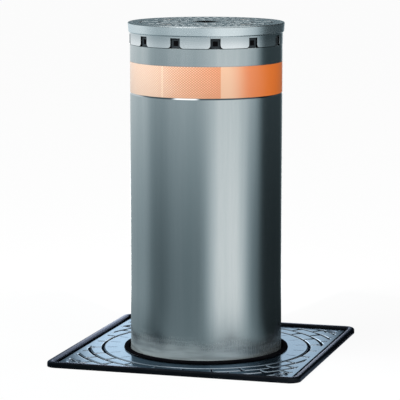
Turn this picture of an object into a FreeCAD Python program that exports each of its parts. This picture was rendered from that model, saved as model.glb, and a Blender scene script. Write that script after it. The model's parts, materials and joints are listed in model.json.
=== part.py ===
import FreeCAD, Part
import math
import os
import re
import Sketcher

# Hydraulic rising bollard, raised, in millimetres.
# Origin on the shaft's axis at paving level, +Z up, X and Y along the sides of the square frame.

SIZES = {
    # Shaft above the paving
    "head_height": 600,
    "shaft_dia": 275,
    "shaft_wall": 10,
    "shaft_tail": 180,
    # Reflective band in its shallow groove
    "band_width": 55,
    "band_drop": 31.5,
    "band_thick": 0.8,
    "band_sunk": 0.2,
    "band_slack": 0.6,
    "band_chamfer": 3,
    # Head: cap, lamp crown and lamps
    "cap_dia": 282.4,
    "cap_thick": 18,
    "cap_taper": 1.2,
    "cap_edge": 2,
    "cap_lip": 1.5,
    "crown_height": 21,
    "crown_proud": 0.5,
    "crown_wall": 9,
    "crown_hoop": 3,
    "lamp_count": 12,
    "lamp_turn": 23,
    "lamp_slot": 18,
    "tab_round": 6,
    "lamp_play": 0.5,
    "lamp_ring_width": 13,
    "lamp_box_out": 5.5,
    "lens_side": 9,
    "lens_thick": 2,
    "lens_sunk": 1,
    "gasket_thick": 3,
    "top_plate_thick": 12,
    "head_screw_ring": 200,
    "head_screw_dia": 12,
    "head_screw_reach": 10,
    "head_boss_dia": 30,
    "screw_turn": 16,
    "cap_groove_wide": 4,
    "cap_groove_deep": 2,
    "cap_groove_first": 48,
    "cap_groove_pitch": 34.5,
    "plug_side": 40,
    "plug_thick": 8,
    "plug_sunk": 0.2,
    "plug_play": 0.3,
    "plug_turn": 61,
    "key_hole_dia": 24,
    # Frame and cover plate
    "frame_side": 462,
    "frame_corner": 20,
    "rim_width": 12,
    "rim_height": 10,
    "rim_round": 4.5,
    "inner_corner": 8,
    "ledge_width": 39,
    "ledge_thick": 10,
    "cover_gap": 5.5,
    "cover_drop": 5,
    "cover_thick": 10,
    "skirt_width": 10,
    "skirt_depth": 13,
    "bore_gap": 6,
    "bore_ring_width": 6.5,
    "bore_ring_thick": 4,
    "lip_cover": 6,
    "lip_thick": 3.5,
    "groove_wide": 7,
    "groove_deep": 3,
    "groove_first": 185.75,
    "groove_pitch": 25,
    "groove_margin": 9,
    "link_wide": 4,
    "cover_screw_inset": 23.5,
    "cover_screw_dia": 10,
    "cover_screw_head": 16,
    "cover_screw_head_deep": 10,
    "cover_screw_sunk": 1,
    "cover_boss_dia": 24,
    # Guide flange, bush and seal
    "flange_thick": 12,
    "sleeve_wall": 8,
    "sleeve_depth": 65,
    "bush_wall": 4,
    "slide_play": 0.3,
    "seal_thick": 7,
    "seal_width": 19,
    "retainer_width": 9,
    "retainer_thick": 4,
    "flange_bolt_dia": 12,
    "flange_bolt_inset": 27,
    "flange_bolt_side": 75,
    "flange_bolt_reach": 14,
    # Guide columns and stops
    "column_dia": 22,
    "column_out": 125,
    "column_end": 12.5,
    "column_nut": 12,
    "column_nut_width": 32,
    "spacer_wall": 5,
    "buffer_thick": 15,
    "low_buffer_thick": 25.5,
    "buffer_wall": 8,
    "stop_gap": 0.5,
    "bush_proud": 4,
    "foot_thick": 20,
    "foot_width": 14,
    "ear_wall": 8,
    # Pit casing and base
    "pit_depth": 820,
    "casing_inset": 18,
    "casing_wall": 4,
    "casing_floor": 10,
    "base_play": 9,
    "base_thick": 10,
    "pipe_stub_reach": 12,
    "drain_dia": 63,
    "drain_height": 60,
    "conduit_dia": 50,
    "conduit_drop": 160,
    "stub_wall": 3,
    # Hydraulic ram
    "rod_dia": 30,
    "rod_neck_dia": 20,
    "rod_neck": 24,
    "rod_nut": 10,
    "rod_nut_width": 30,
    "piston_dia": 49.4,
    "piston_height": 30,
    "piston_lift": 7,
    "piston_groove": 5,
    "piston_groove_deep": 4,
    "barrel_bore": 50,
    "barrel_wall": 6,
    "barrel_height": 685,
    "barrel_reserve": 58,
    "gland_wall": 5,
    "gland_skirt": 30,
    "gland_cap": 12,
    "rod_play": 0.15,
    "rod_wiper_wall": 7,
    "rod_wiper_thick": 4,
    "ram_foot_long": 120,
    "ram_foot_wide": 68,
    "ram_foot_thick": 15,
    "foot_bolt_dia": 10,
    "foot_bolt_inset": 9,
    # Manual release spindle
    "spindle_dia": 8,
    "spindle_deep": 20,
    "spindle_collar": 3,
    "spindle_collar_dia": 14,
    "spindle_head": 12,
    "spindle_head_dia": 13,
    # Pump set
    "pump_out": 78,
    "pump_dia": 80,
    "pump_height": 110,
    "motor_dia": 84,
    "motor_height": 210,
    "motor_bell": 25,
    "tank_dia": 84,
    "tank_height": 300,
    "tank_cap_dia": 24,
    "tank_cap_height": 12,
    "valve_wide": 60,
    "valve_deep": 48,
    "valve_height": 70,
    "oil_pipe_dia": 10,
    "oil_pipe_bend": 20,
    "oil_pipe_height": 45,
    # Limit switches
    "switch_bar_wide": 20,
    "switch_bar_thick": 4,
    "magnet_wide": 16,
    "magnet_thick": 8,
    "switch_wide": 18,
    "switch_thick": 8,
    "switch_height": 30,
    "switch_gap": 4,
    # Common clearance of a bolt in its hole
    "bolt_play": 0.3,
}

# Sizes that follow from others and a named clearance
TIED = {
    "ram_stroke": "barrel_height - piston_lift - piston_height - barrel_reserve",
    "stop_height": "casing_floor + base_thick + low_buffer_thick + stop_gap",
    "pit_stroke": "pit_depth - stop_height - bush_proud - shaft_tail",
    "stroke": "min(ram_stroke; pit_stroke)",
    "frame_depth": "cover_drop + cover_thick + skirt_depth + flange_thick + ledge_thick - rim_height",
    "flange_bolt_out": "frame_side / 2 - rim_width - flange_bolt_inset",
    "casing_side": "frame_side - 2 * casing_inset",
    "base_side": "casing_side - 2 * casing_wall - 2 * base_play",
}

# Patterns and proportions
COVER_ROWS = 5
COVER_LINK_STEP = 15
COVER_LINK_START = 4
CAP_ROWS = 3
CAP_LINK_STEP = 30
BOLT_HEAD_R = 0.8
BOLT_HEAD_HEIGHT = 0.6
SAME_LEVEL = 0.01
CORNERS = [(1, 1), (-1, 1), (-1, -1), (1, -1)]

doc = FreeCAD.newDocument("rising_bollard")
sheet = doc.addObject("Spreadsheet::Sheet", "sizes")
cells = {alias: str(size) for alias, size in SIZES.items()}
cells.update({alias: f"={formula}" for alias, formula in TIED.items()})
for row, (alias, content) in enumerate(cells.items(), start=1):
    sheet.set(f"A{row}", alias)
    sheet.set(f"B{row}", content)
    sheet.setAlias(f"B{row}", alias)
doc.recompute()

ALIAS = re.compile(r"\b(" + "|".join(cells) + r")\b")
nodes = []


# Expressions and placement

def full(text):
    return ALIAS.sub(r"sizes.\1", text)


def value(text):
    return float(sheet.evalExpression(full(text)))


def bind(obj, prop, text):
    obj.setExpression(prop, full(text))


def place(obj, x="0", y="0", z="0"):
    bind(obj, "Placement.Base.x", x)
    bind(obj, "Placement.Base.y", y)
    bind(obj, "Placement.Base.z", z)
    return obj


def turn(obj, degrees, axis=(0, 0, 1)):
    obj.Placement.Rotation = FreeCAD.Rotation(FreeCAD.Vector(*axis), degrees)
    return obj


def node(obj, label):
    obj.Label = label
    nodes.append(obj)
    return obj


# Solids: primitives, rings, turned profiles and booleans

def add(kind, name):
    return doc.addObject(kind, name)


def cylinder(name, radius, height, x="0", y="0", z="0"):
    solid = add("Part::Cylinder", name)
    bind(solid, "Radius", radius)
    bind(solid, "Height", height)
    return place(solid, x, y, z)


def cone(name, radius_low, radius_high, height, x="0", y="0", z="0"):
    solid = add("Part::Cone", name)
    bind(solid, "Radius1", radius_low)
    bind(solid, "Radius2", radius_high)
    bind(solid, "Height", height)
    return place(solid, x, y, z)


def prism(name, sides, radius, height, x="0", y="0", z="0"):
    solid = add("Part::Prism", name)
    solid.Polygon = sides
    bind(solid, "Circumradius", radius)
    bind(solid, "Height", height)
    return place(solid, x, y, z)


def box(name, length, width, height, x="0", y="0", z="0"):
    """A box centred on x and y, standing on z."""
    solid = add("Part::Box", name)
    bind(solid, "Length", length)
    bind(solid, "Width", width)
    bind(solid, "Height", height)
    return place(solid, f"{x} - ({length}) / 2", f"{y} - ({width}) / 2", z)


def spoke(name, inner, outer, width, height, z, degrees):
    """A bar along a radius, from inner to outer, turned about the axis."""
    solid = add("Part::Box", name)
    bind(solid, "Length", f"{outer} - ({inner})")
    bind(solid, "Width", width)
    bind(solid, "Height", height)
    cos = math.cos(math.radians(degrees))
    sin = math.sin(math.radians(degrees))
    turn(solid, degrees)
    return place(solid, f"({inner}) * {cos} + ({width}) / 2 * {sin}",
                 f"({inner}) * {sin} - ({width}) / 2 * {cos}", z)


def cut(name, base, tool):
    solid = add("Part::Cut", name)
    solid.Base = base
    solid.Tool = tool
    return solid


def fuse(name, shapes):
    solid = add("Part::MultiFuse", name)
    solid.Shapes = shapes
    return solid


def common(name, first, second):
    solid = add("Part::Common", name)
    solid.Base = first
    solid.Tool = second
    return solid


def group(name, shapes):
    bundle = add("Part::Compound", name)
    bundle.Links = shapes
    return bundle


def rounded(name, base, radius, chosen):
    """Rounds the edges of base for which chosen(edge) holds."""
    doc.recompute()
    solid = add("Part::Fillet", name)
    solid.Base = base
    size = value(radius)
    edges = enumerate(base.Shape.Edges, start=1)
    solid.Edges = [(number, size, size) for number, edge in edges if chosen(edge)]
    return solid


def upright(edge):
    reach = edge.BoundBox
    return reach.ZLength > max(reach.XLength, reach.YLength)


def at_height(level):
    def chosen(edge):
        reach = edge.BoundBox
        return max(abs(reach.ZMin - level), abs(reach.ZMax - level)) < SAME_LEVEL
    return chosen


def slab(name, side, corner, height, z):
    """A square slab with rounded corners, centred on the axis."""
    return rounded(name, box(f"{name}_blank", side, side, height, z=z), corner, upright)


def sketch_on(body, role, name):
    sketch = body.newObject("Sketcher::SketchObject", name)
    plane = next(item for item in body.Origin.OriginFeatures if item.Role == role)
    sketch.AttachmentSupport = [(plane, "")]
    sketch.MapMode = "FlatFace"
    return sketch


def hold(sketch, kind, *reference):
    *places, text = reference
    number = sketch.addConstraint(Sketcher.Constraint(kind, *places, value(text)))
    sketch.setExpression(f"Constraints[{number}]", full(text))


def ring(name, inner, outer, height, z, x="0", y="0"):
    """A plain ring: two circles in one sketch, padded."""
    body = add("PartDesign::Body", name)
    sketch = sketch_on(body, "XY_Plane", f"{name}_circles")
    for number, radius in enumerate((inner, outer)):
        circle = Part.Circle(FreeCAD.Vector(0, 0, 0), FreeCAD.Vector(0, 0, 1), value(radius))
        sketch.addGeometry(circle, False)
        sketch.addConstraint(Sketcher.Constraint("Coincident", number, 3, -1, 1))
        hold(sketch, "Radius", number, radius)
    pad = body.newObject("PartDesign::Pad", f"{name}_pad")
    pad.Profile = sketch
    bind(pad, "Length", height)
    return place(body, x, y, z)


def turned(name, points, z):
    """A turned piece: a closed outline of (radius, height) points about the axis."""
    body = add("PartDesign::Body", name)
    sketch = sketch_on(body, "XZ_Plane", f"{name}_outline")
    corners = [FreeCAD.Vector(value(radius), value(height), 0) for radius, height in points]
    count = len(corners)
    for number in range(count):
        sketch.addGeometry(Part.LineSegment(corners[number], corners[(number + 1) % count]), False)
    for number in range(count):
        sketch.addConstraint(Sketcher.Constraint("Coincident", number, 2, (number + 1) % count, 1))
    for number, (radius, height) in enumerate(points):
        hold(sketch, "DistanceX", -1, 1, number, 1, radius)
        hold(sketch, "DistanceY", -1, 1, number, 1, height)
    revolution = body.newObject("PartDesign::Revolution", f"{name}_turn")
    revolution.Profile = sketch
    revolution.ReferenceAxis = (sketch, ["V_Axis"])
    revolution.Angle = 360
    return place(body, z=z)


def at_corners(make, name, out, *sizes, z):
    """Four like solids at (+-out, +-out)."""
    return [make(f"{name}_{number}", *sizes, x=f"{sx} * ({out})", y=f"{sy} * ({out})", z=z)
            for number, (sx, sy) in enumerate(CORNERS, start=1)]


def polar(radius, degrees):
    """Expressions for the point at a radius and a bearing."""
    return (f"({radius}) * {math.cos(math.radians(degrees))}",
            f"({radius}) * {math.sin(math.radians(degrees))}")


# Levels and radii that several pieces share
SHAFT_R = "(shaft_dia / 2)"
TUBE_R = "(shaft_dia / 2 - shaft_wall)"
CAP_Z = "(head_height - cap_thick)"
SHAFT_TOP = "(head_height - cap_thick - crown_height)"
SHAFT_FOOT = "(0 - shaft_tail)"
BAND_TOP = f"({SHAFT_TOP} - band_drop)"
BAND_FOOT = f"({BAND_TOP} - band_width)"
BAND_R = f"({SHAFT_R} - band_sunk)"
BAND_SEAT_R = f"({BAND_R} - band_thick)"
CROWN_R = f"({SHAFT_R} + crown_proud)"
CROWN_IN_R = f"({CROWN_R} - crown_wall)"
LAMP_TOP = f"({CAP_Z} - gasket_thick)"
COVER_SIDE = "(frame_side - 2 * rim_width - 2 * cover_gap)"
COVER_TOP = "(rim_height - cover_drop)"
COVER_UNDER = f"({COVER_TOP} - cover_thick)"
FLANGE_TOP = f"({COVER_UNDER} - skirt_depth)"
FLANGE_UNDER = f"({FLANGE_TOP} - flange_thick)"
LEDGE_UNDER = "(0 - frame_depth)"
BORE_R = f"({SHAFT_R} + bore_gap)"
BUSH_IN_R = f"({SHAFT_R} + slide_play)"
BUSH_OUT_R = f"({BUSH_IN_R} + bush_wall)"
SLEEVE_R = f"({BUSH_OUT_R} + sleeve_wall)"
COLUMN_R = "(column_dia / 2)"
COLUMN_HOLE_R = f"({COLUMN_R} + slide_play)"
FLOOR_Z = "(casing_floor - pit_depth)"
BASE_TOP = f"({FLOOR_Z} + base_thick)"
FOOT_TOP = f"({SHAFT_FOOT} + foot_thick)"
BUSH_TOP = f"({FOOT_TOP} + bush_proud)"
BUSH_FOOT = f"({SHAFT_FOOT} - bush_proud)"
LOW_STOP = f"({BUSH_FOOT} - stroke - stop_gap)"
FOOT_BUSH_R = f"({COLUMN_HOLE_R} + spacer_wall)"
FOOT_R = f"({SHAFT_R} + foot_width)"
BARREL_FOOT = f"({BASE_TOP} + ram_foot_thick)"
BARREL_R = "(barrel_bore / 2 + barrel_wall)"
BARREL_TOP = f"({BARREL_FOOT} + barrel_height)"
PISTON_FOOT = f"({BARREL_FOOT} + piston_lift + stroke)"
PISTON_TOP = f"({PISTON_FOOT} + piston_height)"
PLATE_UNDER = f"({SHAFT_TOP} - top_plate_thick)"
ROD_TOP = f"({PLATE_UNDER} + rod_neck)"
PLUG_FOOT = "(head_height - plug_sunk - plug_thick)"


# Pit casing: a floor plate and four walls, welded into a box with an open top
def pit_casing():
    floor = box("casing_floor_plate", "casing_side", "casing_side", "casing_floor", z="0 - pit_depth")
    node(floor, "casing_floor")
    height = f"{LEDGE_UNDER} - {FLOOR_Z}"
    middle = "(casing_side - casing_wall) / 2"
    inside = "casing_side - 2 * casing_wall"
    front = box("front_plate", "casing_side", "casing_wall", height, y=f"0 - {middle}", z=FLOOR_Z)
    node(front, "casing_front")
    node(box("right_plate", "casing_wall", inside, height, x=middle, z=FLOOR_Z), "casing_right")
    back = box("back_plate", "casing_side", "casing_wall", height, y=middle, z=FLOOR_Z)
    drain = cylinder("drain_hole", "drain_dia / 2", "casing_wall", y="casing_side / 2 - casing_wall",
                     z=f"{FLOOR_Z} + drain_height")
    node(cut("casing_back", back, turn(drain, -90, (1, 0, 0))), "casing_back")
    left = box("left_plate", "casing_wall", inside, height, x=f"0 - {middle}", z=FLOOR_Z)
    conduit = cylinder("conduit_hole", "conduit_dia / 2", "casing_wall", x="casing_wall - casing_side / 2",
                       z=f"{LEDGE_UNDER} - conduit_drop")
    node(cut("casing_left", left, turn(conduit, -90, (0, 1, 0))), "casing_left")


# Pipe stubs welded in the casing's holes, for the drain and the cable duct
def pipe_stubs():
    reach = "pipe_stub_reach + casing_wall"
    wall_in = "casing_side / 2 - casing_wall"
    drain = ring("drain_stub", "drain_dia / 2 - stub_wall", "drain_dia / 2", reach,
                 f"{FLOOR_Z} + drain_height", y=wall_in)
    node(turn(drain, -90, (1, 0, 0)), "drain_stub")
    conduit = ring("conduit_stub", "conduit_dia / 2 - stub_wall", "conduit_dia / 2", reach,
                   f"{LEDGE_UNDER} - conduit_drop", x=f"0 - ({wall_in})")
    node(turn(conduit, -90, (0, 1, 0)), "conduit_stub")


# Frame: square rim with rounded corners and an inner ledge
def frame():
    height = "frame_depth + rim_height"
    blank = slab("frame_blank", "frame_side", "frame_corner", height, LEDGE_UNDER)
    well = slab("frame_well", "frame_side - 2 * rim_width", "inner_corner", height,
                f"{LEDGE_UNDER} + ledge_thick")
    opening_side = "frame_side - 2 * rim_width - 2 * ledge_width"
    opening = box("frame_opening", opening_side, opening_side, height, z=LEDGE_UNDER)
    bolts = flange_bolt_holes("ledge_bolt_hole", "flange_bolt_dia / 2 + bolt_play", LEDGE_UNDER)
    hollowed = cut("frame_hollowed", blank, fuse("frame_cutters", [well, opening] + bolts))
    node(rounded("frame_rim", hollowed, "rim_round", at_height(value("rim_height"))), "frame")


def flange_bolt_places():
    pairs = [("flange_bolt_out", "flange_bolt_side"), ("flange_bolt_side", "flange_bolt_out")]
    return [(f"{sx} * {first}", f"{sy} * {second}") for first, second in pairs for sx, sy in CORNERS]


def flange_bolt_holes(name, radius, z):
    return [cylinder(f"{name}_{number}", radius, "ledge_thick + flange_thick", x, y, z)
            for number, (x, y) in enumerate(flange_bolt_places(), start=1)]


# Cover plate: a casting with a skirt, a round bore and a paved relief
def cover_plate():
    blank = slab("cover_blank", COVER_SIDE, "inner_corner", "cover_thick + skirt_depth", FLANGE_TOP)
    room_side = f"{COVER_SIDE} - 2 * skirt_width"
    room = box("cover_room", room_side, room_side, "skirt_depth", z=FLANGE_TOP)
    shell = cut("cover_shell", blank, room)
    screw_out = f"{COVER_SIDE} / 2 - cover_screw_inset"
    bosses = at_corners(cylinder, "cover_boss", screw_out, "cover_boss_dia / 2",
                        "cover_thick + skirt_depth", z=FLANGE_TOP)
    solid = fuse("cover_solid", [shell] + bosses)
    through = "cover_thick + skirt_depth"
    bore = cylinder("cover_bore", BORE_R, through, z=FLANGE_TOP)
    seat = cylinder("cover_ring_seat", f"{BORE_R} + bore_ring_width", "bore_ring_thick",
                    z=f"{COVER_TOP} - bore_ring_thick")
    holes = at_corners(cylinder, "cover_screw_hole", screw_out, "cover_screw_dia / 2 + bolt_play", through,
                       z=FLANGE_TOP)
    sunk = "cover_screw_head_deep + cover_screw_sunk"
    sinks = at_corners(cylinder, "cover_screw_sink", screw_out, "cover_screw_head / 2 + bolt_play", sunk,
                       z=f"{COVER_TOP} - ({sunk})")
    drilled = cut("cover_drilled", solid, fuse("cover_drills", [bore, seat] + holes + sinks))
    grooved = cut("cover_grooved", drilled, cover_grooves())
    node(cut("cover_paved", grooved, cover_links()), "cover_plate")


def cover_grooves():
    """Concentric grooves, kept inside the plate's plain border."""
    level = f"{COVER_TOP} - groove_deep"
    rings = [ring(f"cover_groove_{number}", f"groove_first + {number} * groove_pitch",
                  f"groove_first + {number} * groove_pitch + groove_wide", "groove_deep", level)
             for number in range(COVER_ROWS)]
    field_side = f"{COVER_SIDE} - 2 * groove_margin"
    field = box("cover_groove_field", field_side, field_side, "groove_deep", z=level)
    return common("cover_groove_arcs", group("cover_groove_rings", rings), field)


def cover_links():
    """Short bars between neighbouring grooves, staggered like paving."""
    level = f"{COVER_TOP} - groove_deep"
    limit = value(f"{COVER_SIDE} / 2 - groove_margin")
    bars = []
    for number in range(COVER_ROWS):
        inner = f"groove_first + {number} * groove_pitch + groove_wide / 2"
        outer = f"{inner} + groove_pitch"
        stagger = COVER_LINK_STEP / 2 * (number % 2)
        for step in range(round(360 / COVER_LINK_STEP)):
            bearing = step * COVER_LINK_STEP + stagger + COVER_LINK_START
            reach = value(outer) + value("groove_wide")
            across = max(abs(math.cos(math.radians(bearing))), abs(math.sin(math.radians(bearing)))) * reach
            if across < limit:
                bars.append(spoke(f"cover_link_{number}_{step}", inner, outer, "link_wide", "groove_deep",
                                  level, bearing))
    return group("cover_link_bars", bars)


# Socket screws that hold the cover plate down on the flange
def cover_screws():
    screw_out = f"{COVER_SIDE} / 2 - cover_screw_inset"
    head_foot = f"{COVER_TOP} - cover_screw_sunk - cover_screw_head_deep"
    heads = at_corners(cylinder, "cover_screw_head_solid", screw_out, "cover_screw_head / 2",
                       "cover_screw_head_deep", z=head_foot)
    shanks = at_corners(cylinder, "cover_screw_shank", screw_out, "cover_screw_dia / 2",
                        f"{head_foot} - {FLANGE_UNDER}", z=FLANGE_UNDER)
    screws = [fuse(f"cover_screw_{number}", [head, shank])
              for number, (head, shank) in enumerate(zip(heads, shanks), start=1)]
    node(group("cover_screw_set", screws), "cover_screws")


# Ring that lines the bore, flush with the plate, and the rubber lip inside it with a flange on the ring
def bore_rings():
    node(ring("bore_ring", BORE_R, f"{BORE_R} + bore_ring_width", "bore_ring_thick",
              f"{COVER_TOP} - bore_ring_thick"), "bore_ring")
    lip_r = "cap_dia / 2 + slide_play"
    sleeve = ring("lip_sleeve", lip_r, BORE_R, f"{COVER_TOP} - {COVER_UNDER}", COVER_UNDER)
    flange = ring("lip_flange", lip_r, f"{BORE_R} + lip_cover", "lip_thick", COVER_TOP)
    node(fuse("bore_lip_solid", [sleeve, flange]), "bore_lip")


# Guide flange: carries the columns, the bush and the seal
def guide_flange():
    plate = slab("flange_plate", COVER_SIDE, "inner_corner", "flange_thick", FLANGE_UNDER)
    sleeve = cylinder("flange_sleeve", SLEEVE_R, "sleeve_depth", z=f"{FLANGE_UNDER} - sleeve_depth")
    bore = cylinder("flange_bore", BUSH_OUT_R, "sleeve_depth + flange_thick",
                    z=f"{FLANGE_UNDER} - sleeve_depth")
    columns = at_corners(cylinder, "flange_column_hole", "column_out", COLUMN_HOLE_R, "flange_thick",
                         z=FLANGE_UNDER)
    screws = at_corners(cylinder, "flange_screw_hole", f"{COVER_SIDE} / 2 - cover_screw_inset",
                        "cover_screw_dia / 2 + bolt_play", "flange_thick", z=FLANGE_UNDER)
    bolts = flange_bolt_holes("flange_bolt_hole", "flange_bolt_dia / 2 + bolt_play", FLANGE_UNDER)
    drills = group("flange_drills", [bore] + columns + screws + bolts)
    node(cut("flange_solid", fuse("flange_blank", [plate, sleeve]), drills), "guide_flange")


# Hexagon bolts that hold the flange down on the frame's ledge
def flange_bolts():
    bolts = []
    for number, (x, y) in enumerate(flange_bolt_places(), start=1):
        head = prism(f"flange_bolt_head_{number}", 6, f"flange_bolt_dia * {BOLT_HEAD_R}",
                     f"flange_bolt_dia * {BOLT_HEAD_HEIGHT}", x, y, FLANGE_TOP)
        shank = cylinder(f"flange_bolt_shank_{number}", "flange_bolt_dia / 2",
                         "flange_thick + flange_bolt_reach", x, y, f"{FLANGE_UNDER} - flange_bolt_reach")
        bolts.append(fuse(f"flange_bolt_{number}", [head, shank]))
    node(group("flange_bolt_set", bolts), "flange_bolts")


# Plastic bush in the flange's sleeve, below the lowered crown, and the wiper seal with its retainer
def shaft_guides():
    bush_foot = f"{FLANGE_UNDER} - sleeve_depth"
    bush_top = f"min({SHAFT_TOP} - stroke - stop_gap; {FLANGE_TOP})"
    node(ring("guide_bush", BUSH_IN_R, BUSH_OUT_R, f"{bush_top} - ({bush_foot})", bush_foot), "guide_bush")
    seal_in = f"{CROWN_R} + slide_play"
    seal_out = f"{seal_in} + seal_width"
    node(ring("wiper_seal", seal_in, seal_out, "seal_thick", FLANGE_TOP), "wiper_seal")
    node(ring("seal_retainer", f"{seal_out} - retainer_width", seal_out, "retainer_thick",
              f"{FLANGE_TOP} + seal_thick"), "seal_retainer")


# Four guide columns between the base plate and the flange, with their nuts, spacers and stops
def columns():
    bars = at_corners(cylinder, "column", "column_out", COLUMN_R,
                      f"{FLANGE_TOP} + column_end - {BASE_TOP}", z=BASE_TOP)
    node(group("column_set", bars), "guide_columns")
    nuts = []
    for number, (sx, sy) in enumerate(CORNERS, start=1):
        x = f"{sx} * column_out"
        y = f"{sy} * column_out"
        blank = prism(f"column_nut_blank_{number}", 6, "column_nut_width / 2", "column_nut", x, y, FLANGE_TOP)
        hole = cylinder(f"column_nut_hole_{number}", COLUMN_R, "column_nut", x, y, FLANGE_TOP)
        nuts.append(cut(f"column_nut_{number}", blank, hole))
    node(group("column_nut_set", nuts), "column_nuts")
    buffer_top = f"{BUSH_TOP} + stop_gap + buffer_thick"
    buffer_r = f"{COLUMN_R} + buffer_wall"
    spacers = at_corners(ring_at, "spacer", "column_out", COLUMN_R, f"{COLUMN_R} + spacer_wall",
                         f"{FLANGE_UNDER} - ({buffer_top})", z=buffer_top)
    node(group("spacer_set", spacers), "spacer_tubes")
    upper = at_corners(ring_at, "upper_buffer", "column_out", COLUMN_R, buffer_r, "buffer_thick",
                       z=f"{BUSH_TOP} + stop_gap")
    node(group("upper_buffer_set", upper), "up_stop_buffers")
    lower = at_corners(ring_at, "lower_buffer", "column_out", COLUMN_R, buffer_r, f"{LOW_STOP} - {BASE_TOP}",
                       z=BASE_TOP)
    node(group("lower_buffer_set", lower), "down_stop_buffers")


def ring_at(name, inner, outer, height, x, y, z):
    return ring(name, inner, outer, height, z, x, y)


# Base plate on the casing's floor
def base_plate():
    node(box("base_plate", "base_side", "base_side", "base_thick", z=FLOOR_Z), "base_plate")


# Foot ring welded round the shaft's lower end, with an ear and a bush on each column
def foot_ring():
    rim = cylinder("foot_rim", FOOT_R, "foot_thick", z=SHAFT_FOOT)
    ears = at_corners(cylinder, "foot_ear", "column_out", f"{FOOT_BUSH_R} + ear_wall", "foot_thick",
                      z=SHAFT_FOOT)
    webs = [spoke(f"foot_web_{number}", SHAFT_R, "column_out * sqrt(2)", f"2 * ({FOOT_BUSH_R} + ear_wall)",
                  "foot_thick", SHAFT_FOOT, 45 + 90 * number) for number in range(4)]
    bore = cylinder("foot_bore", SHAFT_R, "foot_thick", z=SHAFT_FOOT)
    holes = at_corners(cylinder, "foot_bush_hole", "column_out", FOOT_BUSH_R, "foot_thick", z=SHAFT_FOOT)
    blank = fuse("foot_blank", [rim] + ears + webs)
    node(cut("foot_solid", blank, group("foot_drills", [bore] + holes)), "foot_ring")
    bushes = at_corners(ring_at, "foot_bush", "column_out", COLUMN_HOLE_R, FOOT_BUSH_R,
                        f"{BUSH_TOP} - {BUSH_FOOT}", z=BUSH_FOOT)
    node(group("foot_bush_set", bushes), "guide_bushes")


# Shaft: a steel tube with a shallow groove for the band, chamfered below it
def shaft_tube():
    points = [
        (TUBE_R, "0"),
        (SHAFT_R, "0"),
        (SHAFT_R, f"{BAND_FOOT} - band_chamfer - {SHAFT_FOOT}"),
        (BAND_SEAT_R, f"{BAND_FOOT} - {SHAFT_FOOT}"),
        (BAND_SEAT_R, f"{BAND_TOP} + band_slack - {SHAFT_FOOT}"),
        (SHAFT_R, f"{BAND_TOP} + band_slack - {SHAFT_FOOT}"),
        (SHAFT_R, f"{SHAFT_TOP} - {SHAFT_FOOT}"),
        (TUBE_R, f"{SHAFT_TOP} - {SHAFT_FOOT}"),
    ]
    node(turned("shaft_tube", points, SHAFT_FOOT), "shaft_tube")
    node(ring("reflective_band", BAND_SEAT_R, BAND_R, "band_width", BAND_FOOT), "reflective_band")


def head_screw_places():
    return [polar("head_screw_ring / 2", value("screw_turn") + 45 + 90 * number) for number in range(4)]


# Plate welded in the top of the tube, which takes the rod's neck and the head's screws
def top_plate():
    disc = cylinder("top_disc", TUBE_R, "top_plate_thick", z=PLATE_UNDER)
    drills = [cylinder("top_rod_hole", "rod_neck_dia / 2", "top_plate_thick", z=PLATE_UNDER)]
    drills += [cylinder(f"top_screw_hole_{number}", "head_screw_dia / 2 + bolt_play", "top_plate_thick", x, y,
                        PLATE_UNDER) for number, (x, y) in enumerate(head_screw_places(), start=1)]
    node(cut("top_solid", disc, group("top_drills", drills)), "top_plate")


def lamp_bearings():
    count = int(value("lamp_count"))
    return [value("lamp_turn") - 90 + number * 360 / count for number in range(count)]


# Lamp crown: a hoop with tabs that hang between the lamps
def lamp_crown():
    hoop = ring("crown_hoop_blank", CROWN_IN_R, CROWN_R, "crown_height", SHAFT_TOP)
    slots = [spoke(f"crown_slot_{number}", f"{CROWN_IN_R} - crown_wall", f"{CROWN_R} + crown_wall",
                   "lamp_slot", "crown_height - crown_hoop", SHAFT_TOP, bearing)
             for number, bearing in enumerate(lamp_bearings(), start=1)]
    slotted = cut("crown_slotted", hoop, group("crown_slots", slots))
    foot = value(SHAFT_TOP)

    def lower_corner(edge):
        return edge.Curve.TypeId == "Part::GeomLine" and at_height(foot)(edge)

    node(rounded("crown_tabs", slotted, "tab_round", lower_corner), "lamp_crown")


# Lamp ring: one moulding with a box for each lamp, and a lens in each box
def lamp_ring():
    height = f"{LAMP_TOP} - {SHAFT_TOP}"
    hoop_in = f"{CROWN_IN_R} - lamp_ring_width"
    hoop = ring("lamp_hoop", hoop_in, CROWN_IN_R, height, SHAFT_TOP)
    face_r = f"{CROWN_IN_R} + lamp_box_out"
    box_wide = "lamp_slot - 2 * lamp_play"
    box_high = "crown_height - crown_hoop - lamp_play"
    middle = f"{SHAFT_TOP} + ({box_high} - lens_side) / 2"
    seat_r = f"{face_r} - lens_sunk - lens_thick"
    boxes = []
    recesses = []
    lenses = []
    for number, bearing in enumerate(lamp_bearings(), start=1):
        boxes.append(spoke(f"lamp_box_{number}", f"{CROWN_IN_R} - lamp_ring_width / 2", face_r, box_wide,
                           box_high, SHAFT_TOP, bearing))
        recesses.append(spoke(f"lamp_recess_{number}", seat_r, f"{face_r} + lens_sunk", "lens_side",
                              "lens_side", middle, bearing))
        lenses.append(spoke(f"lens_{number}", seat_r, f"{face_r} - lens_sunk", "lens_side", "lens_side",
                            middle, bearing))
    moulding = fuse("lamp_moulding", [hoop] + boxes)
    node(cut("lamp_solid", moulding, group("lamp_recesses", recesses)), "led_ring")
    node(group("lens_set", lenses), "led_lenses")
    node(ring("head_gasket", hoop_in, CROWN_IN_R, "gasket_thick", LAMP_TOP), "head_gasket")


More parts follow.
